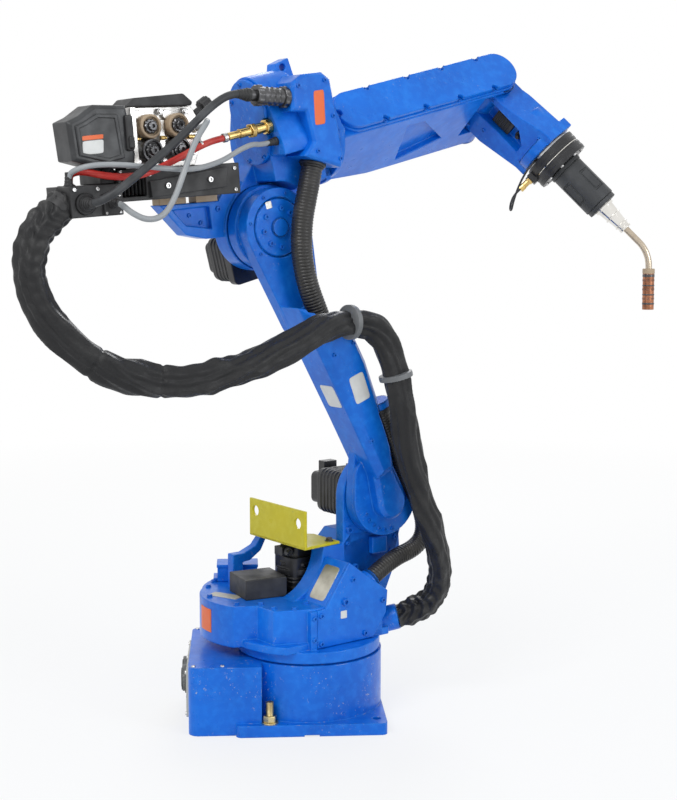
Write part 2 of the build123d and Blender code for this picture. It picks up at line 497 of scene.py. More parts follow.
@dataclass(frozen=True)
class Prism(Solid):
    """A flat outline with depth along one axis, then set by a placement in millimetres."""

    flat: np.ndarray
    low: float
    high: float
    across: Across = Across.Y
    place: Matrix = Matrix.Identity(4)
    bevel_low: float = 0.0

    def shell(self) -> Shell:
        """The outline at its low and high end, a side for each step and a face at each end.

        With a bevel at the low end the first ring is moved in, and the full outline follows at the bevel's
        depth.
        """
        levels = [(self.flat, self.low), (self.flat, self.high)]
        if self.bevel_low:
            levels = [(inset(self.flat, self.bevel_low), self.low), (self.flat, self.low + self.bevel_low),
                      levels[1]]
        count = len(self.flat)
        points = np.empty((len(levels) * count, 3))
        flat_axes = [axis for axis in range(3) if axis != self.across.value]
        steps = np.arange(count)
        after = (steps + 1) % count
        faces: List[List[int]] = []
        for level, (ring, height) in enumerate(levels):
            rows = slice(level * count, (level + 1) * count)
            points[rows, flat_axes[0]], points[rows, flat_axes[1]], points[rows,
                    self.across.value] = ring[:, 0], ring[:, 1], height
            if level:
                low, high = (level - 1) * count, level * count
                faces += np.stack([steps + low, after + low, after + high, steps + high], 1).tolist()
        faces += [steps[::-1].tolist(), (steps + count * (len(levels) - 1)).tolist()]
        turn, shift = np.array(self.place.to_3x3()), np.array(self.place.translation)
        return points @ turn.T + shift, faces


@dataclass(frozen=True)
class Bar(Solid):
    """Round steps one after another along a line, each a radius and a length, with small bevels."""

    start: Point
    along: Point
    steps: Tuple[Tuple[float, float], ...]
    kind: Outline = Outline.ROUND
    edge: float = 0.7
    count: int = 56

    def shell(self) -> Shell:
        """Each step's two rings, with a bevelled one outside each."""
        stack: List[Ring] = []
        height = 0.0
        for radius, length in self.steps:
            for share, at in ((-self.edge, 0.0), (0.0, self.edge), (0.0, length - self.edge),
                              (-self.edge, length)):
                stack.append(Ring(radius + share, radius + share, height + at, self.kind))
            height += length
        grid = turned_grid(stack, self.count)
        frame = aimed(Matrix.Identity(4), (0, 0, 0), self.along)
        points = np.concatenate([grid.reshape(-1, 3), grid[:1].mean(1), grid[-1:].mean(1)])
        quads, fans = grid_faces(len(stack), self.count)
        return points @ np.array(frame.to_3x3()).T + np.array(self.start), quads.tolist() + fans.tolist()


@dataclass(frozen=True)
class Carved(Solid):
    """A solid with others cut from it."""

    solid: Solid
    cutters: Tuple[Solid, ...]

    def shell(self) -> Shell:
        """The shell after the cuts, read back from the evaluated mesh."""
        piece = loose_piece(self.solid.shell())
        tools = [loose_piece(cutter.shell()) for cutter in self.cutters]
        for tool in tools:
            cut = piece.modifiers.new("cut", "BOOLEAN")
            cut.operation, cut.solver, cut.object = "DIFFERENCE", "EXACT", tool
        bpy.context.view_layer.update()
        mesh = bpy.data.meshes.new_from_object(piece.evaluated_get(bpy.context.evaluated_depsgraph_get()))
        points = np.empty(len(mesh.vertices) * 3)
        mesh.vertices.foreach_get("co", points)
        faces = [list(face.vertices) for face in mesh.polygons]
        for loose in (piece, *tools):
            bpy.data.objects.remove(loose)
        bpy.data.meshes.remove(mesh)
        return points.reshape(-1, 3), faces


def box(x0: float, x1: float, y0: float, y1: float, z0: float, z1: float,
        place: Matrix = Matrix.Identity(4)) -> Prism:
    """A rectangular block between two corners."""
    return Prism(np.array([(x0, y0), (x1, y0), (x1, y1), (x0, y1)], float), z0, z1, Across.Z, place)


@dataclass(frozen=True)
class Casting:
    """Solids of one piece on one body, with bevelled edges; it may stand for CAD nodes."""

    name: str
    body: str
    frame: Matrix
    solids: Tuple[Solid, ...]
    bevel: float = 1.6
    replaced: Tuple[str, ...] = ()
    segments: int = 2

    def build(self, material: bpy.types.Material) -> None:
        """Joins the shells, bevels what turns by more than the bevel angle, and rides the piece on its body.

        Args:
            material: the finish.
        """
        points: List[np.ndarray] = []
        faces: List[List[int]] = []
        offset = 0
        for solid in self.solids:
            own, sides = solid.shell()
            points.append(own)
            faces += [[index + offset for index in side] for side in sides]
            offset += len(own)
        piece = loose_piece((in_world(self.frame, np.concatenate(points)), faces))
        piece.name = piece.data.name = self.name
        piece.data.shade_smooth()
        edge = piece.modifiers.new("edges", "BEVEL")
        edge.width, edge.segments, edge.limit_method = self.bevel * MM, self.segments, "ANGLE"
        edge.angle_limit, edge.harden_normals, edge.use_clamp_overlap = math.radians(BEVEL_ANGLE), True, False
        if self.replaced:
            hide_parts(*self.replaced)
        finish_piece(piece, self.body, material)


# Finishes

class Graph:
    """A material's node tree, with short ways to add what the finishes share."""

    def __init__(self, name: str) -> None:
        """Makes the material with its shader and object coordinates."""
        self.material = bpy.data.materials.new(name)
        self.material.use_nodes = True
        self.nodes = self.material.node_tree.nodes
        self.links = self.material.node_tree.links
        self.shader = self.nodes["Principled BSDF"]
        self.where = self.nodes.new("ShaderNodeTexCoord").outputs["Object"]

    def put(self, socket: str, value: object) -> None:
        """Sets one of the shader's own sockets."""
        self.shader.inputs[socket].default_value = value

    def join(self, output: bpy.types.NodeSocket, socket: str) -> None:
        """Links an output to one of the shader's sockets."""
        self.links.new(output, self.shader.inputs[socket])

    def noise(self, scale: float, detail: float = 4.0, stretch: Point = (1, 1, 1),
              rough: float = 0.55) -> bpy.types.NodeSocket:
        """Noise by object coordinates, stretched along an axis if asked."""
        where = self.where
        if stretch != (1, 1, 1):
            mapping = self.nodes.new("ShaderNodeMapping")
            mapping.inputs["Scale"].default_value = stretch
            self.links.new(where, mapping.inputs["Vector"])
            where = mapping.outputs["Vector"]
        node = self.nodes.new("ShaderNodeTexNoise")
        node.inputs["Scale"].default_value = scale
        node.inputs["Detail"].default_value = detail
        node.inputs["Roughness"].default_value = rough
        self.links.new(where, node.inputs["Vector"])
        return node.outputs["Fac"]

    def span(self, value: bpy.types.NodeSocket, low: float, high: float, to_low: float = 0.0,
             to_high: float = 1.0) -> bpy.types.NodeSocket:
        """A value carried from one range to another and held inside it."""
        node = self.nodes.new("ShaderNodeMapRange")
        for socket, number in (("From Min", low), ("From Max", high), ("To Min", to_low),
                               ("To Max", to_high)):
            node.inputs[socket].default_value = number
        self.links.new(value, node.inputs["Value"])
        return node.outputs["Result"]

    def maths(self, way: str, first: bpy.types.NodeSocket, second: object) -> bpy.types.NodeSocket:
        """One arithmetic step between a socket and a socket or number."""
        node = self.nodes.new("ShaderNodeMath")
        node.operation = way
        self.links.new(first, node.inputs[0])
        if isinstance(second, bpy.types.NodeSocket):
            self.links.new(second, node.inputs[1])
        else:
            node.inputs[1].default_value = second
        return node.outputs[0]

    def blend(self, share: bpy.types.NodeSocket, first: object, second: object) -> bpy.types.NodeSocket:
        """A colour between two, by share; each is a colour or a socket."""
        node = self.nodes.new("ShaderNodeMix")
        node.data_type = "RGBA"
        self.links.new(share, node.inputs[0])
        for index, value in ((6, first), (7, second)):
            if isinstance(value, bpy.types.NodeSocket):
                self.links.new(value, node.inputs[index])
            else:
                node.inputs[index].default_value = (*value, 1.0)
        return node.outputs[2]

    def edges(self, radius: float) -> Tuple[bpy.types.NodeSocket, bpy.types.NodeSocket]:
        """How near a point is to an edge, and the normal of the edge when it is rounded.

        Args:
            radius: of the rounding, in metres.

        Returns:
            The share, 1 on the edge and 0 away from it, and the rounded normal.
        """
        bevel = self.nodes.new("ShaderNodeBevel")
        bevel.samples = 4
        bevel.inputs["Radius"].default_value = radius
        shape = self.nodes.new("ShaderNodeNewGeometry")
        dot = self.nodes.new("ShaderNodeVectorMath")
        dot.operation = "DOT_PRODUCT"
        self.links.new(bevel.outputs["Normal"], dot.inputs[0])
        self.links.new(shape.outputs["Normal"], dot.inputs[1])
        return self.span(dot.outputs["Value"], 0.98, 0.75), bevel.outputs["Normal"]

    def bump(self, height: bpy.types.NodeSocket, strength: float, depth: float,
             normal: Optional[bpy.types.NodeSocket] = None) -> bpy.types.NodeSocket:
        """A bump from a height, on top of another normal if there is one."""
        node = self.nodes.new("ShaderNodeBump")
        node.inputs["Strength"].default_value = strength
        node.inputs["Distance"].default_value = depth
        self.links.new(height, node.inputs["Height"])
        if normal is not None:
            self.links.new(normal, node.inputs["Normal"])
        return node.outputs["Normal"]


@dataclass(frozen=True)
class Enamel:
    """Brushed-on machine enamel over a casting: orange peel, pale edges that are partly wear and partly
    painted highlight, and a few chips.
    """

    name: str
    colour: Colour
    deep: Colour
    # edge: the pale colour of the random mottle and of the painted edge highlight
    edge: Colour
    chip: Colour = (0.42, 0.44, 0.46)
    chips: float = 0.5
    rounding: float = 0.0035
    peel: float = 0.16

    def material(self) -> bpy.types.Material:
        """The enamel's material."""
        graph = Graph(self.name)
        edge, rounded = graph.edges(self.rounding)
        cloud = graph.span(graph.noise(5.0, 3.0), 0.35, 0.68)
        colour = graph.blend(cloud, self.colour, self.deep)
        mottle = graph.span(graph.noise(60.0, 5.0), 0.45, 0.75, 0.0, 0.35)
        colour = graph.blend(mottle, colour, self.edge)
        # painted highlight, partly edge wear: the pale edge colour is blended in along every edge of the
        # casting
        colour = graph.blend(graph.maths("MULTIPLY", edge, 0.55), colour, self.edge)
        spots = graph.span(graph.noise(170.0, 6.0, rough=0.7), 0.60, 0.66)
        near = graph.span(graph.noise(14.0, 2.0), 0.5, 0.62)
        worn = graph.maths("MULTIPLY", graph.maths("MULTIPLY", spots, near), self.chips)
        on_edge = graph.maths("MULTIPLY", graph.span(graph.noise(45.0, 6.0, rough=0.7), 0.55, 0.62), edge)
        worn = graph.maths("MAXIMUM", worn, graph.maths("MULTIPLY", on_edge, self.chips))
        graph.join(graph.blend(worn, colour, self.chip), "Base Color")
        graph.join(graph.span(graph.noise(24.0, 4.0), 0.3, 0.75, 0.26, 0.44), "Roughness")
        graph.put("Specular IOR Level", 0.22)
        graph.put("Coat Weight", 0.18)
        graph.put("Coat Roughness", 0.14)
        peel = graph.bump(graph.noise(420.0, 2.0), self.peel, 0.0006, rounded)
        cast = graph.bump(graph.noise(55.0, 5.0), self.peel, 0.0012, peel)
        graph.join(cast, "Normal")
        return graph.material


@dataclass(frozen=True)
class Moulding:
    """Moulded plastic or rubber with a fine grain, dust and paler rubbed edges."""

    name: str
    colour: Colour
    dust: Colour
    rough: Tuple[float, float] = (0.42, 0.62)
    grain: float = 700.0
    strength: float = 0.25
    rounding: float = 0.0018

    def material(self) -> bpy.types.Material:
        """The moulding's material."""
        graph = Graph(self.name)
        edge, rounded = graph.edges(self.rounding)
        dusty = graph.span(graph.noise(22.0, 6.0), 0.48, 0.78, 0.0, 0.6)
        colour = graph.blend(dusty, self.colour, self.dust)
        colour = graph.blend(graph.maths("MULTIPLY", edge, 0.5), colour, self.dust)
        graph.join(colour, "Base Color")
        graph.join(graph.span(graph.noise(35.0, 3.0), 0.3, 0.7, *self.rough), "Roughness")
        graph.join(graph.bump(graph.noise(self.grain, 3.0), self.strength, 0.0004, rounded), "Normal")
        return graph.material


@dataclass(frozen=True)
class Turning:
    """Bare metal: machining marks along an axis, tarnish and bright edges."""

    name: str
    colour: Colour
    tarnish: Colour
    rough: Tuple[float, float] = (0.22, 0.45)
    stretch: Point = (1.0, 1.0, 14.0)
    stain: float = 0.6

    def material(self) -> bpy.types.Material:
        """The metal's material."""
        graph = Graph(self.name)
        edge, rounded = graph.edges(0.0012)
        stained = graph.span(graph.noise(38.0, 6.0), 0.42, 0.72, 0.0, self.stain)
        colour = graph.blend(stained, self.colour, self.tarnish)
        graph.join(graph.blend(graph.maths("MULTIPLY", edge, 0.5), colour, self.colour), "Base Color")
        graph.put("Metallic", 1.0)
        marks = graph.noise(180.0, 3.0, self.stretch)
        graph.join(graph.span(graph.maths("ADD", marks, stained), 0.3, 1.4, *self.rough), "Roughness")
        graph.join(graph.bump(marks, 0.12, 0.0003, rounded), "Normal")
        return graph.material


@dataclass(frozen=True)
class Hide:
    """Black split-leather sleeve: pores, wrinkles along it, and grey rub marks on the ridges of its folds."""

    name: str = "sleeve_hide"
    colour: Colour = (0.012, 0.012, 0.013)
    rubbed: Colour = (0.06, 0.059, 0.057)

    def material(self) -> bpy.types.Material:
        """The hide's material; the sleeve's attribute fold is 1 on a ridge."""
        graph = Graph(self.name)
        fold = graph.nodes.new("ShaderNodeAttribute")
        fold.attribute_name = "fold"
        scuff = graph.span(graph.noise(30.0, 7.0, rough=0.7), 0.42, 0.75)
        ridge = graph.maths("MULTIPLY", graph.span(fold.outputs["Fac"], 0.35, 1.0), scuff)
        dust = graph.span(graph.noise(9.0, 8.0, rough=0.65), 0.55, 0.85, 0.0, 0.5)
        graph.join(graph.blend(graph.maths("MAXIMUM", ridge, dust), self.colour, self.rubbed), "Base Color")
        graph.join(graph.span(graph.noise(50.0, 5.0), 0.3, 0.7, 0.36, 0.62), "Roughness")
        graph.put("Specular IOR Level", 0.3)
        graph.put("Sheen Weight", 0.05)
        graph.put("Sheen Roughness", 0.5)
        wrinkle = graph.bump(graph.noise(85.0, 8.0, rough=0.65), 0.55, 0.0022)
        graph.join(graph.bump(graph.noise(620.0, 3.0), 0.35, 0.0005, wrinkle), "Normal")
        return graph.material


class Finishes:
    """Every finish of the arm, made once."""

    def __init__(self) -> None:
        """Makes the materials."""
        # each enamel's third colour is its pale mottle and its painted edge highlight
        self.blue = Enamel("robot_blue", (0.002, 0.165, 0.72), (0.001, 0.115, 0.56), (0.02, 0.28, 0.90),
                           chips=0.35).material()
        self.foot_blue = Enamel("foot_blue", (0.002, 0.155, 0.70), (0.001, 0.105, 0.54), (0.02, 0.27, 0.88),
                                chips=1.0).material()
        self.screw_blue = Enamel("screw_blue", (0.002, 0.145, 0.64), (0.001, 0.095, 0.48),
                                 (0.04, 0.30, 0.90), chips=0.5, rounding=0.0008).material()
        self.yellow = Enamel("bracket_yellow", (0.66, 0.56, 0.012), (0.56, 0.48, 0.01), (0.80, 0.74, 0.10),
                             (0.25, 0.22, 0.12), 0.3, 0.002).material()
        self.black = Moulding("black_moulding", (0.014, 0.014, 0.015), (0.06, 0.06, 0.062)).material()
        self.door = Moulding("door_black", (0.020, 0.021, 0.023), (0.075, 0.078, 0.082),
                             (0.34, 0.5)).material()
        self.grip = Moulding("torch_grey", (0.030, 0.032, 0.035), (0.085, 0.088, 0.092),
                             (0.38, 0.56)).material()
        self.motor = Moulding("motor_black", (0.013, 0.013, 0.015), (0.07, 0.07, 0.072), (0.26, 0.45),
                              260.0).material()
        self.rubber = Moulding("cable_rubber", (0.022, 0.024, 0.027), (0.10, 0.105, 0.11), (0.4, 0.6),
                               300.0, 0.15).material()
        self.conduit = Moulding("conduit_plastic", (0.018, 0.017, 0.016), (0.10, 0.092, 0.082),
                                (0.28, 0.48), 200.0).material()
        self.grey = Moulding("cable_grey", (0.30, 0.315, 0.325), (0.46, 0.46, 0.45), (0.35, 0.5), 240.0,
                             0.12).material()
        self.red = Moulding("gas_hose_red", (0.52, 0.022, 0.016), (0.68, 0.14, 0.10), (0.32, 0.5), 260.0,
                            0.15).material()
        self.cream = Moulding("insulating_resin", (0.42, 0.31, 0.20), (0.56, 0.46, 0.34), (0.45, 0.7),
                              420.0).material()
        self.panel = Moulding("connector_cream", (0.62, 0.58, 0.46), (0.40, 0.36, 0.28),
                              (0.42, 0.6)).material()
        self.shell = Moulding("connector_grey", (0.13, 0.135, 0.14), (0.26, 0.26, 0.26),
                              (0.35, 0.55)).material()
        self.plate_orange = Moulding("plate_orange", (0.78, 0.13, 0.025), (0.70, 0.24, 0.12), (0.35, 0.5),
                                     90.0, 0.1).material()
        self.plate_white = Moulding("plate_white", (0.72, 0.72, 0.70), (0.52, 0.51, 0.47), (0.35, 0.5),
                                    90.0, 0.1).material()
        self.plate_cream = Moulding("plate_cream", (0.52, 0.49, 0.40), (0.38, 0.36, 0.30), (0.35, 0.5),
                                    90.0, 0.1).material()
        self.aluminium = Turning("machined_aluminium", (0.70, 0.69, 0.67), (0.28, 0.25, 0.22),
                                 (0.25, 0.5)).material()
        self.steel = Turning("turned_steel", (0.62, 0.62, 0.62), (0.22, 0.20, 0.18), (0.2, 0.42)).material()
        self.zinc = Turning("yellow_zinc", (0.66, 0.56, 0.30), (0.26, 0.18, 0.09), (0.25, 0.5),
                            stain=0.8).material()
        self.brass = Turning("turned_brass", (0.72, 0.52, 0.20), (0.34, 0.22, 0.08), (0.16, 0.35)).material()
        self.nickel = Turning("polished_nickel", (0.80, 0.78, 0.74), (0.42, 0.38, 0.32), (0.06, 0.2),
                              stain=0.35).material()
        self.neck = Turning("neck_metal", (0.56, 0.48, 0.38), (0.30, 0.23, 0.16), (0.2, 0.4)).material()
        self.copper = Turning("heated_copper", (0.46, 0.20, 0.11), (0.10, 0.045, 0.03), (0.25, 0.5),
                              stain=0.85).material()
        self.dark_steel = Turning("blackened_steel", (0.12, 0.12, 0.125), (0.04, 0.04, 0.04),
                                  (0.25, 0.5)).material()
        self.nameplate = Turning("etched_plate", (0.60, 0.58, 0.50), (0.36, 0.34, 0.28), (0.3, 0.5),
                                 (1, 1, 1)).material()
        self.hide = Hide().material()


def paint(nodes: dict, material: bpy.types.Material, *names: str) -> None:
    """Gives CAD nodes a material.

    Args:
        nodes: the frame's nodes.
        material: the finish.
        names: which nodes.
    """
    for name in names:
        mesh = nodes[name].data
        if not mesh.materials:
            mesh.materials.append(material)
        for index in range(len(mesh.materials)):
            mesh.materials[index] = material


# Cords

@dataclass(frozen=True)
class Route:
    """A cord's control points, in stretches that each follow one body's frame, in millimetres."""

    stretches: Tuple[Tuple[Matrix, Tuple[Point, ...]], ...]

    def points(self) -> np.ndarray:
        """The control points in metres."""
        return np.concatenate([in_world(frame, np.array(points, float)) for frame, points in self.stretches])

    def curve(self, name: str) -> bpy.types.Curve:
        """A smooth NURBS spline with the route's points as its control points.

        Args:
            name: the curve's name.

        Returns:
            The curve, with no thickness.
        """
        points = self.points()
        curve = bpy.data.curves.new(name, "CURVE")
        curve.dimensions = "3D"
        curve.resolution_u = 28
        spline = curve.splines.new("NURBS")
        spline.points.add(len(points) - 1)
        spline.points.foreach_set("co", np.concatenate([points, np.ones((len(points), 1))], 1).ravel())
        spline.order_u = 3
        spline.use_endpoint_u = True
        return curve

    def line(self) -> np.ndarray:
        """Points read from the spline, evenly spaced along it by straight interpolation on its length."""
        holder = bpy.data.objects.new("route", self.curve("route"))
        mesh = bpy.data.meshes.new_from_object(holder)
        raw = np.empty(len(mesh.vertices) * 3)
        mesh.vertices.foreach_get("co", raw)
        raw = raw.reshape(-1, 3)
        bpy.data.objects.remove(holder)
        bpy.data.meshes.remove(mesh)
        gone = np.concatenate([[0], np.cumsum(np.linalg.norm(np.diff(raw, axis=0), axis=1))])
        keep = np.concatenate([[True], np.diff(gone) > 1e-7])
        even = np.linspace(0, gone[-1], ROUTE_POINTS)
        return np.stack([np.interp(even, gone[keep], raw[keep, axis]) for axis in range(3)], 1)


def length_of(line: np.ndarray) -> float:
    """The length of a line of points."""
    return float(np.linalg.norm(np.diff(line, axis=0), axis=1).sum())


def resampled(line: np.ndarray, count: int) -> np.ndarray:
    """A line of points again, with another count, evenly spaced."""
    gone = np.concatenate([[0], np.cumsum(np.linalg.norm(np.diff(line, axis=0), axis=1))])
    even = np.linspace(0, gone[-1], count)
    return np.stack([np.interp(even, gone, line[:, axis]) for axis in range(3)], 1)


def carried(line: np.ndarray, radii: np.ndarray, side: Vector) -> np.ndarray:
    """A section carried along a line: each ring stands across the line, turned so that its zero angle
    points aside.

    The ring's first axis is side less its share along the tangent, and its second is the tangent crossed
    with the first.

    Args:
        line: (n, 3) points.
        radii: (n, k) radius at each point and angle.
        side: a direction that the line never follows.

    Returns:
        An (n, k, 3) grid.
    """
    tangent = np.gradient(line, axis=0)
    tangent /= np.linalg.norm(tangent, axis=1, keepdims=True)
    first = np.array(side) - tangent * (tangent @ np.array(side))[:, None]
    first /= np.linalg.norm(first, axis=1, keepdims=True)
    second = np.cross(tangent, first)
    angle = np.linspace(0, 2 * np.pi, radii.shape[1], endpoint=False)
    ring = first[:, None] * np.cos(angle)[None, :, None] + second[:, None] * np.sin(angle)[None, :, None]
    return line[:, None] + ring * radii[:, :, None]


def hump(x: np.ndarray, middle: float, width: float) -> np.ndarray:
    """A soft bump of height 1: e to the minus square of the distance over the width."""
    return np.exp(-((x - middle) / width) ** 2)


@dataclass(frozen=True)
class Sleeve:
    """The zipped hide sleeve over the cables: folds that run along it and twist, gathers at its ends, a
    flap and a cuff."""

    name: str
    bodies: Tuple[str, str]
    route: Route
    length: float
    gathered_start: bool
    gathered_end: bool
    cuff_at: float
    seed: float
    radius: float = 0.0295

    def radii(self, line: np.ndarray, count: int) -> Tuple[np.ndarray, np.ndarray]:
        """The sleeve's radius by length along it and angle round it, and its fold height.

        The fold height is a sum of four waves: two broad ones that twist slowly, their creases sharpened by
        taking
        1 less the size of the wave, one of many narrow pleats, and slanting gathers that fade away from the
        ends.
        The flap is a step over a third of the way round.

        Args:
            line: points along the sleeve.
            count: points round it.

        Returns:
            Radii and fold heights from 0 to 1, both (points, count).
        """
        s = np.linspace(0, length_of(line), len(line))[:, None]
        a = np.linspace(0, 2 * np.pi, count, endpoint=False)[None, :]
        drift = 2.6 * np.sin(7.0 * s + self.seed) + 1.4 * np.sin(19.0 * s + 2 * self.seed)
        broad = 1 - np.abs(np.sin(1.5 * a + 0.5 * drift + 3.0 * s + self.seed)) ** 0.8
        second = 1 - np.abs(np.sin(1.0 * a - 0.7 * drift - 8.0 * s + 1.3)) ** 0.9
        pleats = 0.5 + 0.5 * np.sin(9 * a + 1.8 * drift + 21 * s)
        start = hump(s, 0.0, 0.16) if self.gathered_start else 0 * s
        end = hump(s, s[-1, 0], 0.13) if self.gathered_end else 0 * s
        slant = 0.5 + 0.5 * np.sin(2 * a + 260 * s + 2.0 * np.sin(3 * a + self.seed))
        gather = (start + end) * slant
        ripple = 0.5 + 0.5 * np.sin(95 * s + 2.5 * np.sin(2 * a + self.seed) + 3 * np.sin(11 * s))
        fold = 0.34 * broad + 0.26 * second + 0.14 * pleats + 0.30 * gather + 0.12 * ripple
        fold = np.clip(fold / 0.85, 0, 1)
        oval = 0.10 * np.cos(2 * a + 5.0 * s + self.seed)
        flap = 0.05 / (1 + np.exp(-60 * (np.cos(a + 0.6 * np.sin(6 * s) + self.seed) - 0.75)))
        cuff = 0.07 * hump(s, self.cuff_at, 0.05) ** 0.25 if self.cuff_at > 0 else 0 * s
        seam = -0.10 * (hump(s, self.cuff_at - 0.062, 0.004)
                        + hump(s, self.cuff_at + 0.062, 0.004)) if self.cuff_at > 0 else 0 * s
        pinch = -0.16 * (hump(s, 0.0, 0.022) + hump(s, s[-1, 0], 0.022))
        radii = self.radius * (0.87 + 0.46 * (fold - 0.4) + oval + flap + cuff + seam + pinch)
        return radii, fold

    def build(self, material: bpy.types.Material) -> None:
        """Makes the sleeve along its route.

        Args:
            material: its hide.
        """
        line = self.route.line()
        radii, fold = self.radii(line, SLEEVE_COLUMNS)
        side = Place.lower.to_3x3() @ Vector((0.12, 1.0, 0.05)).normalized()
        piece = mesh_piece(self.name, [carried(line, radii, side)], 80.0)
        layer = piece.data.attributes.new("fold", "FLOAT", "POINT")
        layer.data.foreach_set("value", np.concatenate([fold.ravel(), [0.0, 0.0]]).astype(np.float32))
        piece.data.materials.append(material)
        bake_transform(piece)
        LOG.info("sleeve %s, %.3f m", self.name, length_of(line))


@dataclass(frozen=True)
class Conduit:
    """A ribbed conduit that crosses a joint: its radius swells and falls by a rounded wave at each rib."""

    name: str
    bodies: Tuple[str, str]
    route: Route
    length: float
    radius: float
    pitch: float = 0.0062
    depth: float = 0.0013

    def build(self, material: bpy.types.Material) -> None:
        """Makes the conduit along its route.

        Args:
            material: its plastic.
        """
        line = self.route.line()
        ribs = int(length_of(line) / self.pitch)
        line = resampled(line, ribs * RIB_STEPS + 1)
        phase = np.linspace(0, 2 * np.pi * ribs, len(line))[:, None]
        wave = np.abs(np.cos(phase / 2)) ** 0.7
        radii = np.repeat(self.radius - self.depth * (1 - wave), CONDUIT_COLUMNS, 1)
        side = Place.lower.to_3x3() @ Vector(REAR)
        piece = mesh_piece(self.name, [carried(line, radii, side)], 70.0)
        piece.data.materials.append(material)
        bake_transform(piece)
        LOG.info("conduit %s, %.3f m", self.name, length_of(line))


@dataclass(frozen=True)
class Cable:
    """A round cable or hose on one body, as a curve with its own thickness."""

    name: str
    body: str
    route: Route
    length: float
    radius: float
    with_pieces: Tuple[str, ...] = ()

    def build(self, material: bpy.types.Material) -> None:
        """Makes the cable.

        Args:
            material: its jacket.
        """
        curve = self.route.curve(self.name)
        curve.bevel_depth = self.radius
        curve.bevel_resolution = 6
        curve.use_fill_caps = True
        piece = bpy.data.objects.new(self.name, curve)
        bpy.context.scene.collection.objects.link(piece)
        finish_piece(piece, self.body, material)
        exit_point = tuple(self.route.points()[0])


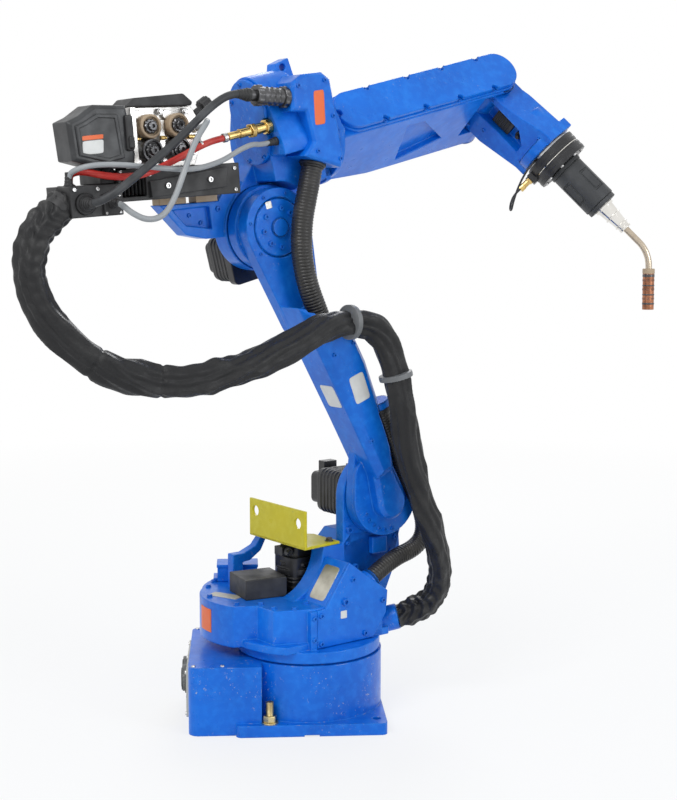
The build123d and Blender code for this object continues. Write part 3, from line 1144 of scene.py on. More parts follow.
class DressPack:
    """The sleeve, conduits, cables and gas hose, on given routes."""

    tie: Point = (10, -142, 407)

    def __init__(self, finishes: Finishes) -> None:
        """Keeps the finishes."""
        self.finishes = finishes

    def sleeves(self) -> None:
        """The two lengths of the hide sleeve, which meet at the tie on the lower arm."""
        mouth = ahead(MOUTH, MOUTH_LEAN, 26)
        lug = ahead(LUG, LUG_LEAN, 60)
        tie_axis = (52, 2, -24)
        upper = Route(((Place.feeder, ((-258, -24, 36.5), mouth, ahead(mouth, MOUTH_LEAN, 60))),
                       (Place.upper, ((-538, -14, 31),)), (Place.lower,
                ((-526, -58, 624), (-455, -118, 510), (-294, -162, 446), (-120, -156, 432),
                 ahead(self.tie, tie_axis, -57), self.tie))))
        lower = Route(((Place.lower, (self.tie, ahead(self.tie, tie_axis, 44), (73, -143, 346),
                                      (70, -150, 296), (58, -155, 225), (31, -155, 95))),
                       (Place.turret, ((186, -165, 410), (212, -169, 340), (227, -163, 283),
                                       (224, -144, 236), ahead(lug, LUG_LEAN, 45), lug))))
        Sleeve("sleeve_upper", ("upper_arm", "lower_arm"), upper, 0.950, True, False, 0.44, 0.4).build(
            self.finishes.hide)
        Sleeve("sleeve_lower", ("lower_arm", "turret"), lower, 0.762, False, True, 0.0, 2.1).build(
            self.finishes.hide)

    def conduits(self) -> None:
        """The ribbed conduits over the elbow and the shoulder."""
        elbow = Route(((Place.upper, ((86, -70, 108.7), (60, -70, 57.3))),
                       (Place.lower, ((31, -70, 612), (5, -70, 556), (-7, -70, 494), (-6, -70, 432),
                                      (-6, -70, 372)))))
        Conduit("elbow_conduit", ("upper_arm", "lower_arm"), elbow, 0.365, 0.0215).build(
            self.finishes.conduit)
        gland = ahead(GLAND, GLAND_LEAN, 26)
        shoulder = Route(((Place.lower, ((46, -86, 190), (46, -86, 128), (52, -88, 30))),
                          (Place.turret, ((234, -88, 420), (246, -87, 368), (225, -84, 333),
                                          ahead(gland, GLAND_LEAN, 57), gland))))
        Conduit("shoulder_conduit", ("lower_arm", "turret"), shoulder, 0.470, 0.019).build(
            self.finishes.conduit)

    def cables(self) -> None:
        """The cables and the gas hose at the feeder, and the shock sensor's cable."""
        end = ahead(PLUG_SEAT, PLUG_LEAN, 88)
        power = Route(((Place.upper, (PLUG_SEAT, end, ahead(end, PLUG_LEAN, 40), (-135, -92, 262),
                                      (-215, -98, 222), (-300, -110, 190), (-352, -119, 172),
                                      (-390, -117, 158), (-415.2, -98, 149.3), (-415.2, -68, 149.3))),))
        Cable("power_lead", "upper_arm", power, 0.519, 0.0075, ("round_connector",)).build(
            self.finishes.rubber)
        control = Route(((Place.upper, ((-132, -20, 225.4), (-132, -50, 225.4), (-142, -86, 240),
                                        (-164, -112, 236), (-196, -118, 214), (-232, -117, 168),
                                        (-266, -119, 124), (-298, -119, 97), (-332, -118, 98),
                                        (-356, -110, 118), (-364.4, -94, 138.3), (-364.4, -68, 138.3),
                                        (-360, -56, 130), (-345, -48, 118))),))
        Cable("control_lead", "upper_arm", control, 0.441, 0.0055).build(self.finishes.grey)
        signal = Route(((Place.upper, ((-427, -40, 184.2), (-423.7, -40, 203), (-416, -56, 211),
                                       (-396, -78, 214), (-350, -92, 205), (-280, -98, 182),
                                       (-205, -98, 160), (-135, -90, 160), (-92, -92, 172), (-56, -86, 176),
                                       (-25, -72, 168), (10, -72, 168))),))
        Cable("signal_lead", "upper_arm", signal, 0.486, 0.005).build(self.finishes.grey)
        gas = Route(((Place.upper, ((-415.6, -20, 181.8), (-413.2, -20, 195.6), (-409.5, -27, 204),
                                    (-396, -46, 204), (-372, -68, 190), (-336, -78, 178), (-290, -80, 173),
                                    (-220, -74, 184), (-140, -60, 198), (-90, -60, 198), (6, -60, 198))),))
        Cable("gas_line", "upper_arm", gas, 0.467, 0.0063).build(self.finishes.red)
        lean_out = (0.0, math.cos(math.radians(10)), -math.sin(math.radians(10)))
        seat = (14.0, 72 * lean_out[1], 72 * lean_out[2])
        boot = ahead(seat, lean_out, 30)
        sensor = Route(((Place.tool, (seat, boot, ahead(boot, lean_out, 19), (22, 136, -27), (32, 146, -37),
                                      (36, 143, -49), (27, 128, -56), (14, 102, -59), (3, 72, -61),
                                      (-3, 41, -58.6), (-3, 28.7, -41))),))
        Cable("sensor_lead", "tool", sensor, 0.228, 0.0023,
              ("sensor_plug",)).build(self.finishes.black)

    def ties(self) -> None:
        """Cable ties, the cable boots and the collars at the sleeve's ends."""
        band = tuple(rings((31.5, -6), (34.5, -5), (34.8, 0), (34.5, 5), (31.5, 6)))
        collar = tuple(rings((25.0, -4), (27.5, -3), (28.0, 6), (27.0, 14), (25.0, 15)))
        ties = [Turned(Place.lower, self.tie, (52, 2, -24), band).grid(),
                Turned(Place.lower, (64, -152.5, 260), (-14, -5, -71), band).grid()]
        finish_piece(mesh_piece("sleeve_ties", ties), "lower_arm", self.finishes.shell)
        mouth = Turned(Place.feeder, ahead(MOUTH, MOUTH_LEAN, 12), MOUTH_LEAN, collar).grid()
        finish_piece(mesh_piece("sleeve_mouth_collar", [mouth]), "upper_arm", self.finishes.black)
        boots = []
        for point, axis, radius in (((-415.2, -68, 149.3), FRONT, 7.5), ((-364.4, -68, 138.3), FRONT, 5.5),
                                    ((-43.6, -88, 266.4), PLUG_LEAN, 7.5),
                                    ((-427, -40, 184.2), (0.17, 0, 0.98), 5.0),
                                    ((10, -72, 168), BEHIND, 5.0)):
            steps = rings((radius * 1.7, -2), (radius * 1.7, 4), (radius * 1.45, 5), (radius * 1.5, 10),
                          (radius * 1.3, 11), (radius * 1.32, 16), (radius * 1.15, 17), (radius * 1.12, 24),
                          (radius * 0.9, 25))
            boots.append(Turned(Place.upper, point, axis, tuple(steps)).grid())
        finish_piece(mesh_piece("cable_boots", boots), "upper_arm", self.finishes.black)

    def build(self) -> None:
        """Makes every cord and what holds it."""
        self.sleeves()
        self.conduits()
        self.cables()
        self.ties()


# Sub-assemblies

def about(angle: float, axis: str, x: float = 0.0, y: float = 0.0, z: float = 0.0) -> Matrix:
    """A turn in degrees and a shift in millimetres, for solids."""
    return Matrix.Translation((x, y, z)) @ turned(angle, axis)


@dataclass(frozen=True)
class Servo:
    """A servo motor lying along Y: flange, ribbed body, encoder cap and two plugs."""

    half: float
    flange: float
    length: float
    cap: float

    def solids(self, x: float, y: float, z: float) -> Tuple[Solid, ...]:
        """The motor's solids with the middle of its flange at a point.

        Args:
            x: across.
            y: the seat of the flange.
            z: up.

        Returns:
            The solids.
        """
        place = Matrix.Translation((x, y, z))
        half, body, end = self.half, self.flange + self.length, self.flange + self.length + self.cap
        solids = [Prism(rounded(-half, half, -half, half, half / 4), 0, self.flange, Across.Y, place),
                  Prism(rounded(5 - half, half - 5, 5 - half, half - 5, half / 3), self.flange, body,
                        Across.Y, place),
                  Prism(rounded(17 - half, half - 17, 17 - half, half - 17, half / 4), body, end, Across.Y,
                        place), Bar((x, y + end, z), REAR, ((half / 3, self.cap / 2),)),
                  box(-half / 3, half / 3, self.flange + 8, self.flange + 34, half - 6, half + 12, place),
                  box(-half / 3, half / 3, end - 26, end - 4, half - 18, half + 6, place)]
        for rib in range(int(self.length / 12) - 1):
            at = self.flange + 10 + 12 * rib
            solids.append(Prism(rounded(3.4 - half, half - 3.4, 3.4 - half, half - 3.4, half / 3), at,
                                at + 4, Across.Y, place))
        return tuple(solids)


@dataclass
class Unit:
    """What every part of the arm shares: its finishes, body and frame, and short ways to make its pieces."""

    body: ClassVar[str]
    frame: ClassVar[Matrix]
    finishes: Finishes

    def cast(self, name: str, solids: Tuple[Solid, ...], bevel: float = 1.6, replaced: Tuple[str, ...] = (),
             segments: int = 2) -> Casting:
        """A casting of this part; it may stand for CAD nodes."""
        return Casting(name, self.body, self.frame, solids, bevel, replaced, segments)

    def heads(self, name: str, axis: Point, head: ScrewHead,
              places: Tuple[Tuple[float, float, float, float], ...]) -> Screws:
        """Screw heads on this part."""
        return Screws(name, self.body, self.frame, axis, head, places)

    def plate(self, name: str, middle: Point, half_u: Point, half_v: Point, thick: float = 0.8) -> BlankPlate:
        """A plain plate on this part."""
        return BlankPlate(name, self.body, self.frame, middle, half_u, half_v, thick)

    def turned(self, point: Point, axis: Point, steps: Tuple[Ring, ...], turn: float = 0.0,
               count: int = 32) -> Turned:
        """A turned shape in this part's frame."""
        return Turned(self.frame, point, axis, steps, turn, count)

    def grids(self, name: str, grids: Iterable[np.ndarray], material: bpy.types.Material) -> None:
        """One piece of this part from closed grids."""
        finish_piece(mesh_piece(name, grids), self.body, material)

    def build(self, nodes: dict) -> None:
        """Makes the part.

        Args:
            nodes: the frame's nodes, for those that are only painted.
        """
        raise NotImplementedError


@dataclass
class BaseUnit(Unit):
    """The foot, drum and connector box with their screws, plugs and stud."""

    body: ClassVar[str] = "base"
    frame: ClassVar[Matrix] = Place.base
    stud_place: Tuple[float, float] = (-84.0, -147.0)
    foot: float = 24.0
    pitch: float = 2.0
    stud_radius: float = 8.0

    def stud(self) -> None:
        """The anchor stud: a rod whose radius falls by a triangular wave at each turn of its thread, a nut
        and a washer."""
        height = np.linspace(self.foot, self.foot + 44, 177)
        wave = np.abs(np.mod(height / self.pitch, 1.0) - 0.5) * 2
        thread = tuple(Ring(self.stud_radius - 0.9 * w, self.stud_radius - 0.9 * w, h)
                       for w, h in zip(wave, height))
        where, up, low = (*self.stud_place, 0.0), UP, self.foot
        nut = tuple(rings((12.6, low + 3), (13.6, low + 4), (13.6, low + 15), (12.4, low + 16),
                          outline=Outline.HEX))
        grids = [self.turned(where, up, thread).grid(), self.turned(where, up, nut, 20).grid(),
                 self.turned(where, up, tuple(rings((17, low), (17, low + 2.4), (16.4, low + 3)))).grid()]
        self.grids("anchor_stud", grids, self.finishes.zinc)

    def build(self, nodes: dict) -> None:
        """Paints the base and adds its small pieces."""
        paint(nodes, self.finishes.foot_blue, "base_casting")
        paint(nodes, self.finishes.panel, "rear_connector_panel")
        self.stud()
        plugs = tuple(Bar((-252, y, 82), BEHIND, ((radius + 4, 3), (radius, long - 3), (radius * 0.7, 2)))
                      for y, radius, long in ((-85, 8, 8), (-52, 15, 10), (-5, 22, 12), (55, 22, 12)))
        self.cast("rear_plugs", plugs, 0.5, ("rear_connectors",)).build(self.finishes.shell)
        self.heads("box_lid_screws", UP, ScrewHead.PAN,
                   ((-236, -138, 140, 4.5), (-178, -138, 140, 4.5), (-236, 138, 140, 4.5),
                    (-178, 138, 140, 4.5))).build(self.finishes.steel)
        self.heads("panel_screws", BEHIND, ScrewHead.SOCKET,
                   tuple((-252, y, z, 3.6) for y in (-102, 0, 102) for z in (32, 118))).build(
            self.finishes.steel)
        flange = tuple((-252, y, z, 3.0) for y in (-76, 25, 84) for z in (58, 106))
        self.heads("plug_screws", BEHIND, ScrewHead.PAN, flange).build(self.finishes.steel)
        LOG.info("base done")


@dataclass
class TurretUnit(Unit):
    """The turning casting with its covers, motors, plates and lifting bracket."""

    body: ClassVar[str] = "turret"
    frame: ClassVar[Matrix] = Place.turret
    floor: float = 165.0
    top: float = 250.0
    cover_y: float = -113.0
    ear_y: float = -32.0
    pad: float = 354.0

    def wing(self, low: float) -> np.ndarray:
        """The wing's outline above a height."""
        return outline((-60, low), (-60, 246), (-38, 248), (22, 334), (38, 322), (122, 262), (118, 216),
                       (84, low))

    def drum(self) -> np.ndarray:
        """The drum's outline from above: flats towards the wing and three arcs round the back."""
        return outline((115, -105), (-64, -105), (-140, -72), (-140, -16),
                       through((-184, 6), (-196, 88), (-150, 178)),
                       through((-150, 178), (-40, 244), (80, 205))[1:],
                       through((80, 205), (150, 90), (148, -20))[1:])

    def casting(self) -> None:
        """The turning casting: neck, bolted ring, drum, wing, shoulder block with its swept rise, ear and
        glands."""
        rise = outline((-62, self.floor), through((-62, self.top), (-5.6, 288.9), (16, self.pad)),
                       (66, self.pad), (86, self.pad + 20), (218, self.pad + 20), (222, 318),
                       (150, self.floor))
        ear = belt((155, 450), 88, (139, self.pad - 20), 72)
        guide = outline((-88, self.top), (-88, 318), (-60, 318), (-30, 330), (-8, 356), (2, 350),
                        (-16, 318), (-44, 300), (-62, 298), (-62, self.top))
        solids = (Prism(disc(0, 0, 149), 143, self.floor + 2, Across.Z),
                  Prism(disc(0, 0, 168), self.floor, self.floor + 16,
                        Across.Z).less(box(-300, 300, -300, -105, 0, self.top)),
                  Prism(self.drum(), self.floor, self.top, Across.Z),
                  Prism(self.wing(self.floor), -105, self.ear_y),
                  box(-76, -60, self.cover_y, -85, self.floor, 246),
                  Prism(rise, self.ear_y, 60).less(box(-100, 66, 10, 100, self.top, self.pad + 30)),
                  Prism(ear, self.ear_y, -6), box(135, 175, self.ear_y - 14, self.ear_y, self.pad - 30,
                360), Prism(disc(155, 450, 72), self.ear_y - 2.7, self.ear_y),
                  Bar(LUG, LUG_LEAN, ((27, 60),), edge=2.0),
                  Bar(GLAND, GLAND_LEAN, ((24, 20), (22, 6)), edge=1.5), Prism(guide, 150, 172))
        self.cast("turret_shell", solids, 2.4, ("turret_casting", "hose_lug"), 3).build(self.finishes.blue)
        self.cast("turret_side_plate", (Prism(self.wing(self.floor + 3), self.cover_y, -105),), 2.0,
                  ("turret_side_cover",), 3).build(self.finishes.blue)

    def fittings(self) -> None:
        """Motors, stop block, cable box and lifting bracket."""
        base = Matrix.Translation((17, 62, 0))
        swing = (Prism(rounded(-42, 42, -42, 42, 8), self.top, 262, Across.Z, base),
                 Prism(rounded(-38, 38, -38, 38, 14), 262, 322, Across.Z, base),
                 *(Prism(rounded(-39.6, 39.6, -39.6, 39.6, 14), z, z + 4, Across.Z, base)
                   for z in (268, 276)), Bar((17, 62, 284), UP, ((46, 14),), edge=1.5),
                 Bar((17, 62, 303), UP, ((41, 8),), Outline.LOBED),
                 Prism(rounded(-29, 29, -29, 29, 12), 322, 351, Across.Z, base),
                 box(-50, -27, -14, 14, 326, 344, base),
                 Bar((-20, 40, 336), (-0.72, -0.69, 0.1), ((9, 10), (6, 12), (4.5, 14))),
                 Bar((36, 18, 332), (0.1, -1, 0.1), ((9, 6), (7, 8), (4.5, 12))))
        self.cast("swing_servo", swing, 1.2, ("swing_motor",)).build(self.finishes.motor)
        self.cast("shoulder_servo", Servo(52, 22, 98, 38).solids(155, -6, 442), 1.5,
                  ("shoulder_motor",)).build(self.finishes.motor)
        self.cast("swing_stop", (box(-46, 46, -46, 46, 0, 42, about(-12, "Z", -82, 66, self.top)),), 1.8,
                  ("stop_block",)).build(self.finishes.black)
        lid = about(-34, "Z", -44, 200, self.top)
        cable = (box(-43, 43, -28, 28, 0, 36, lid), box(-52, -43, -24, 24, 0, 8, lid),
                 box(-44.5, 44.5, -29.5, 29.5, 31, 38, lid))
        self.cast("cable_box", cable, 1.6, ("turret_cable_box",)).build(self.finishes.blue)
        wall = box(-38, -32, -40, 160, self.pad,
                   self.pad + 81).less(*(Bar((-45, y, self.pad + z), AHEAD, ((11, 20),), edge=0.1)
                                         for y, z in ((-14, 52), (138, 56))))
        foot = Prism(outline((-38, -40), (60, -30), (60, 60), (-38, 160)), self.pad, self.pad + 6, Across.Z)
        self.cast("lifting_plate", (wall, foot), 1.2, ("lifting_bracket",)).build(self.finishes.yellow)

    def screws(self) -> None:
        """The cover's socket screws, the lid's hex screws and the bracket's own bolt."""
        y, top = self.cover_y, self.top
        self.heads("side_cover_screws", FRONT, ScrewHead.SOCKET,
                   ((-51, y, 235, 5.5), (30, y, 298, 5.5), (108, y, 243, 5.5), (61, y, 181, 5.5),
                    (-51, y, 177, 5.5), (-68, y, 232, 5.0), (-68, y, 188, 5.0), (9, y, 255, 8.0))).build(
            self.finishes.screw_blue)
        self.heads("lid_screws", UP, ScrewHead.HEX,
                   ((-133, 178, top, 5.5), (-176, 106, top, 5.5), (-168, 18, top, 5.5),
                    (-128, -10, top, 5.5), (-128, -56, top, 5.5), (-45, -16, top, 5.5),
                    (-52, -62, top, 5.5), (-96, -84, top, 5.5), (60, 190, top, 5.5), (-100, 208, top, 5.5),
                    (10, 222, top, 5.5))).build(self.finishes.screw_blue)
        self.heads("bracket_bolts", UP, ScrewHead.HEX,
                   ((42, -16, self.pad + 6, 7.5), (20, 48, self.pad + 6, 7.5))).build(
            self.finishes.dark_steel)
        self.heads("ear_screws", FRONT, ScrewHead.SOCKET,
                   ((82, self.ear_y, 381, 7.5), (98, self.ear_y, 300, 7.0), (78, self.ear_y, 352, 4.5),
                    (206, self.ear_y, 350, 5.0), (196, self.ear_y, 322, 5.0))).build(
            self.finishes.screw_blue)

    def plates(self) -> None:
        """Plain plates where such a machine has them; the one on the drum follows the drum's arc, a little
        proud of it."""
        self.plate("wing_nameplate", (-9.5, -69, 289.2), (22, 0, 31.5), (0, -25, 0)).build(
            self.finishes.nameplate)
        self.plate("lid_plate", (-146, 92, self.top), (13, -34, 0), (14, 5.4, 0), 0.8).build(
            self.finishes.plate_cream)
        self.plate("cover_spot", (6, self.cover_y, 229), (-8, 0, 0), (0, 0, 8)).build(
            self.finishes.plate_white)
        edge = through((-184, 6), (-196, 88), (-150, 178), 60)[20:36]
        normal = np.gradient(edge, axis=0)[:, ::-1] * (-1, 1)
        normal /= np.linalg.norm(normal, axis=1, keepdims=True)
        if np.dot(normal[0], edge[0]) < 0:
            normal = -normal
        strip = outline(edge + normal * 1.2, (edge - normal * 0.5)[::-1])
        self.cast("drum_plate", (Prism(strip, 186, 234, Across.Z),), 0.2).build(self.finishes.plate_orange)

    def build(self, nodes: dict) -> None:
        """Makes the turret."""
        self.casting()
        self.fittings()
        self.screws()
        self.plates()
        LOG.info("turret done")


@dataclass
class LowerArmUnit(Unit):
    """The link between shoulder and elbow: a bevelled hollow stem between two joint discs."""

    body: ClassVar[str] = "lower_arm"
    frame: ClassVar[Matrix] = Place.lower
    near: float = -110.0
    far: float = -24.0
    face: float = -57.0
    elbow: float = 614.0

    def casting(self) -> None:
        """The casting: foot disc with its web pocket, stem with the hose pocket and outlet, neck, elbow
        disc and cap."""
        foot = Prism(belt((0, 0), 84, (28, 190), 18), self.face, -35)
        stem = Prism(outline((-26, 60), (-38, 200), (-58, 400), (-62, 470), (-20, 445), (30, 445),
                             (44, 300), (40, 190), (34, 110), (20, 60)), self.near, self.far,
                     bevel_low=14.0)
        pocket = Prism(outline((-44, 372), (-48, 505), (44, 505), (34, 372)), self.near + 9, self.far - 14)
        mouth = Prism(outline((-30, 412), (-40, 505), (50, 505), (44, 400), (4, 392)), self.near - 1,
                      self.near + 10)
        neck = Prism(belt((-16, 425), 42, (0, self.elbow), 78), self.far - 12, -5)
        solids = (foot.less(Prism(belt((6, 4), 64, (34, 170), 10), self.face - 1, -45)),
                  stem.less(Prism(disc(0, 0, 94), -35, 0), pocket, mouth, box(24, 90, -111, -64, 60, 190)),
                  Prism(belt((-6, -8), 36, (0, 90), 22), self.near + 14, self.face, bevel_low=8.0),
                  Prism(belt((0, 0), 84, (-20, 60), 40), self.face - 10,
                        self.face).less(Prism(belt((38, 10), 46, (48, 150), 20), self.face - 11,
                                              self.face + 1)),
                  neck.less(Prism(disc(0, self.elbow, 60), -38,
                                  -32).less(Prism(disc(0, self.elbow, 56), -39, -31))),
                  Prism(disc(0, self.elbow, 84), -5, 22),
                  Bar((0, -36, self.elbow), FRONT, ((19, 5),), edge=1.2),
                  Bar((46, -86, 190), UP, ((24, 16),), edge=1.5))
        self.cast("lower_link", solids, 2.0, ("lower_arm_casting",), 3).build(self.finishes.blue)

    def build(self, nodes: dict) -> None:
        """Makes the link, its screws, plates and the seal rings of its hose openings."""
        self.casting()
        rim = ((-62, -7), (-61, -24), (-54, -39), (-45, -53), (-33, -64), (-14, -72), (13, -73), (34, -66))
        self.heads("shoulder_screws", FRONT, ScrewHead.SOCKET,
                   tuple((x, self.face - 10 if x < 0 else self.face, z, 4.2) for x, z in rim)).build(
            self.finishes.screw_blue)
        spots = {"elbow_screws": (38, 5.6, (169, 212, 253, 25, 61, 124)),
                 "elbow_rim_screws": (69, 3.6, (100, 150, 205, 55))}
        for name, (reach, size, angles) in spots.items():
            places = tuple((reach * math.cos(math.radians(a)), -36,
                            self.elbow + reach * math.sin(math.radians(a)), size) for a in angles)
            self.heads(name, FRONT, ScrewHead.SOCKET, places).build(self.finishes.screw_blue)
        self.heads("stem_screws", FRONT, ScrewHead.SOCKET,
                   ((-17, self.near, 148, 5.5), (-30, self.near, 352, 4.2),
                    (22, self.near, 352, 4.2))).build(self.finishes.screw_blue)
        self.plate("stem_plate", (0, self.near, 262), (-19, 0, 1), (1.5, 0, 29)).build(
            self.finishes.plate_white)
        self.plate("stem_side_plate", (-44.3, -68, 262), (0, -22, 0), (-2.6, 0, 26)).build(
            self.finishes.plate_white)
        self.plate("elbow_spot", (-6, -36, 664), (-7, 0, 1), (1, 0, 7)).build(self.finishes.aluminium)
        seals = (Bar((-6, -70, 376), UP, ((27, 8), (24, 5)), edge=1.5),
                 Bar((46, -86, 191), DOWN, ((22.5, 8), (20.5, 4)), edge=1.0))
        self.cast("stem_seals", seals, 0.5).build(self.finishes.black)
        LOG.info("lower arm done")


@dataclass
class UpperArmUnit(Unit):
    """The elbow housing with its covers, connectors and motor."""

    body: ClassVar[str] = "upper_arm"
    frame: ClassVar[Matrix] = Place.upper
    inner: float = 25.0
    outer: float = 67.0
    back: float = 10.0

    def casting(self) -> None:
        """The housing: elbow ring and web, roll drum with its hump, ribbed front, lifting lug and the
        feeder's shelf."""
        hump = belt((0, 150), 92, (-5, 233), 62)
        hose_room = box(0, 290, -184, -42, 0, 140)
        disc_room = Prism(disc(0, 0, 90), -200, self.inner)
        shelf = Prism(outline((-40, 20), (-75, 0), (-130, 10), (-172, 28), (-216, 97.9), (-84, 74.6),
                              (-60, 100), (-20, 100)), self.inner + 4, self.outer)
        solids = (Prism(disc(0, 0, 87), self.inner, self.outer),
                  Prism(belt((0, 0), 87, (88, 120), 56), self.inner, self.outer),
                  Prism(hump, self.back, 90, Across.X).less(hose_room, disc_room),
                  Prism(disc(0, 150, 92), 88, 145, Across.X).less(hose_room),
                  Prism(disc(0, 150, 97), 131, 145, Across.X).less(hose_room),
                  Prism(disc(0, 150, 80), 145, 147.7, Across.X),
                  Prism(outline((78, 270), (90, 306), (122, 312), (128, 270)), -10,
                        22).less(Bar((104, -20, 296), REAR, ((7, 60),), edge=0.1)),
                  shelf.less(Prism(outline((-190, 82), (-108, 70), (-112, 26), (-168, 46)), self.inner + 3,
                                   self.inner + 16)), Prism(disc(0, 0, 72), self.inner - 2.7, self.inner))
        self.cast("elbow_housing", solids, 2.2, ("upper_arm_housing",), 3).build(self.finishes.blue)
        cover = Prism(belt((0, 182), 58, (-5, 233), 58), 2, self.back, Across.X)
        self.cast("housing_back_plate", (cover.less(Bar((-20, -60, 198), AHEAD, ((16, 60),), edge=0.1)),),
                  1.6, ("housing_rear_cover",), 3).build(self.finishes.blue)
        junction = Prism(outline((49, 271), (75, 281), (124, 276), (141, 259), (137, 113), (127, 88),
                                 (44, 130), (72, 152), (68, 211), (35, 218)), -108, -42, bevel_low=5.0)
        self.cast("junction_cover", (junction,), 1.6, ("junction_box",), 3).build(self.finishes.blue)
        self.cast("elbow_servo", Servo(50, 20, 62, 30).solids(-14, self.outer, -56), 1.5,
                  ("elbow_motor",)).build(self.finishes.motor)

    def connectors(self) -> None:
        """The round connector with its knurled rings, and the brass gas fitting with its nuts."""
        plug = Bar(PLUG_SEAT, PLUG_LEAN, ((19.5, 12), (16.5, 46), (18.5, 16), (11, 14)))
        knurls = tuple(Bar(ahead(PLUG_SEAT, PLUG_LEAN, at), PLUG_LEAN, ((radius, long),), Outline.LOBED,
                           0.8, 80)
                       for at, radius, long in ((3, 20.4, 8), (22, 17.3, 4), (34, 17.3, 4), (46, 17.3, 4),
                                                (60, 19.4, 12)))
        self.cast("round_connector", (plug, *knurls), 0.3).build(self.finishes.dark_steel)
        brass = (Bar((10, -60, 198), BEHIND, ((14, 14), (10.5, 22), (12, 12), (9, 26), (7.5, 26))),
                 Bar((6, -60, 198), BEHIND, ((15.5, 9),), Outline.HEX, 0.8, 48),
                 Bar((-28, -60, 198), BEHIND, ((14.5, 10),), Outline.HEX, 0.8, 48))
        self.cast("gas_fitting", brass, 0.3).build(self.finishes.brass)
        self.cast("hose_clamp", (Bar((-92, -60, 198), BEHIND, ((8.8, 9),)),
                                 Bar((-150, -61, 197.4), BEHIND, ((7.6, 5),))), 0.3).build(
            self.finishes.steel)

    def build(self, nodes: dict) -> None:
        """Makes the housing and adds its small pieces."""
        self.casting()
        self.connectors()
        self.heads("junction_screws", FRONT, ScrewHead.SOCKET,
                   ((60, -108, 262, 4.2), (124, -108, 260, 4.2), (126, -108, 106, 4.2),
                    (76, -108, 132, 4.2), (128, -108, 190, 4.2))).build(self.finishes.screw_blue)
        self.heads("shelf_screws", FRONT, ScrewHead.SOCKET,
                   ((-150, 41, 62, 4.5), (-128, 41, 42, 4.5), (-90, 29, 60, 5.5),
                    (-66, 29, 40, 4.5))).build(self.finishes.screw_blue)
        self.heads("rear_cover_screws", BEHIND, ScrewHead.SOCKET,
                   ((2, 0, 282, 4.2), (2, 40, 250, 4.2), (2, -44, 250, 4.2), (2, 46, 190, 4.2),
                    (2, -30, 140, 4.2), (2, 22, 134, 4.2))).build(self.finishes.screw_blue)
        self.plate("junction_plate", (100, -108, 212), (-12.5, 0, 1), (6, 0, 32)).build(
            self.finishes.plate_orange)
        gland = Bar((86, -70, 108.7), (-0.45, 0, -0.89), ((27, 6), (24, 4)), edge=1.0)
        self.cast("conduit_gland", (gland,), 0.3).build(self.finishes.black)
        LOG.info("upper arm done")


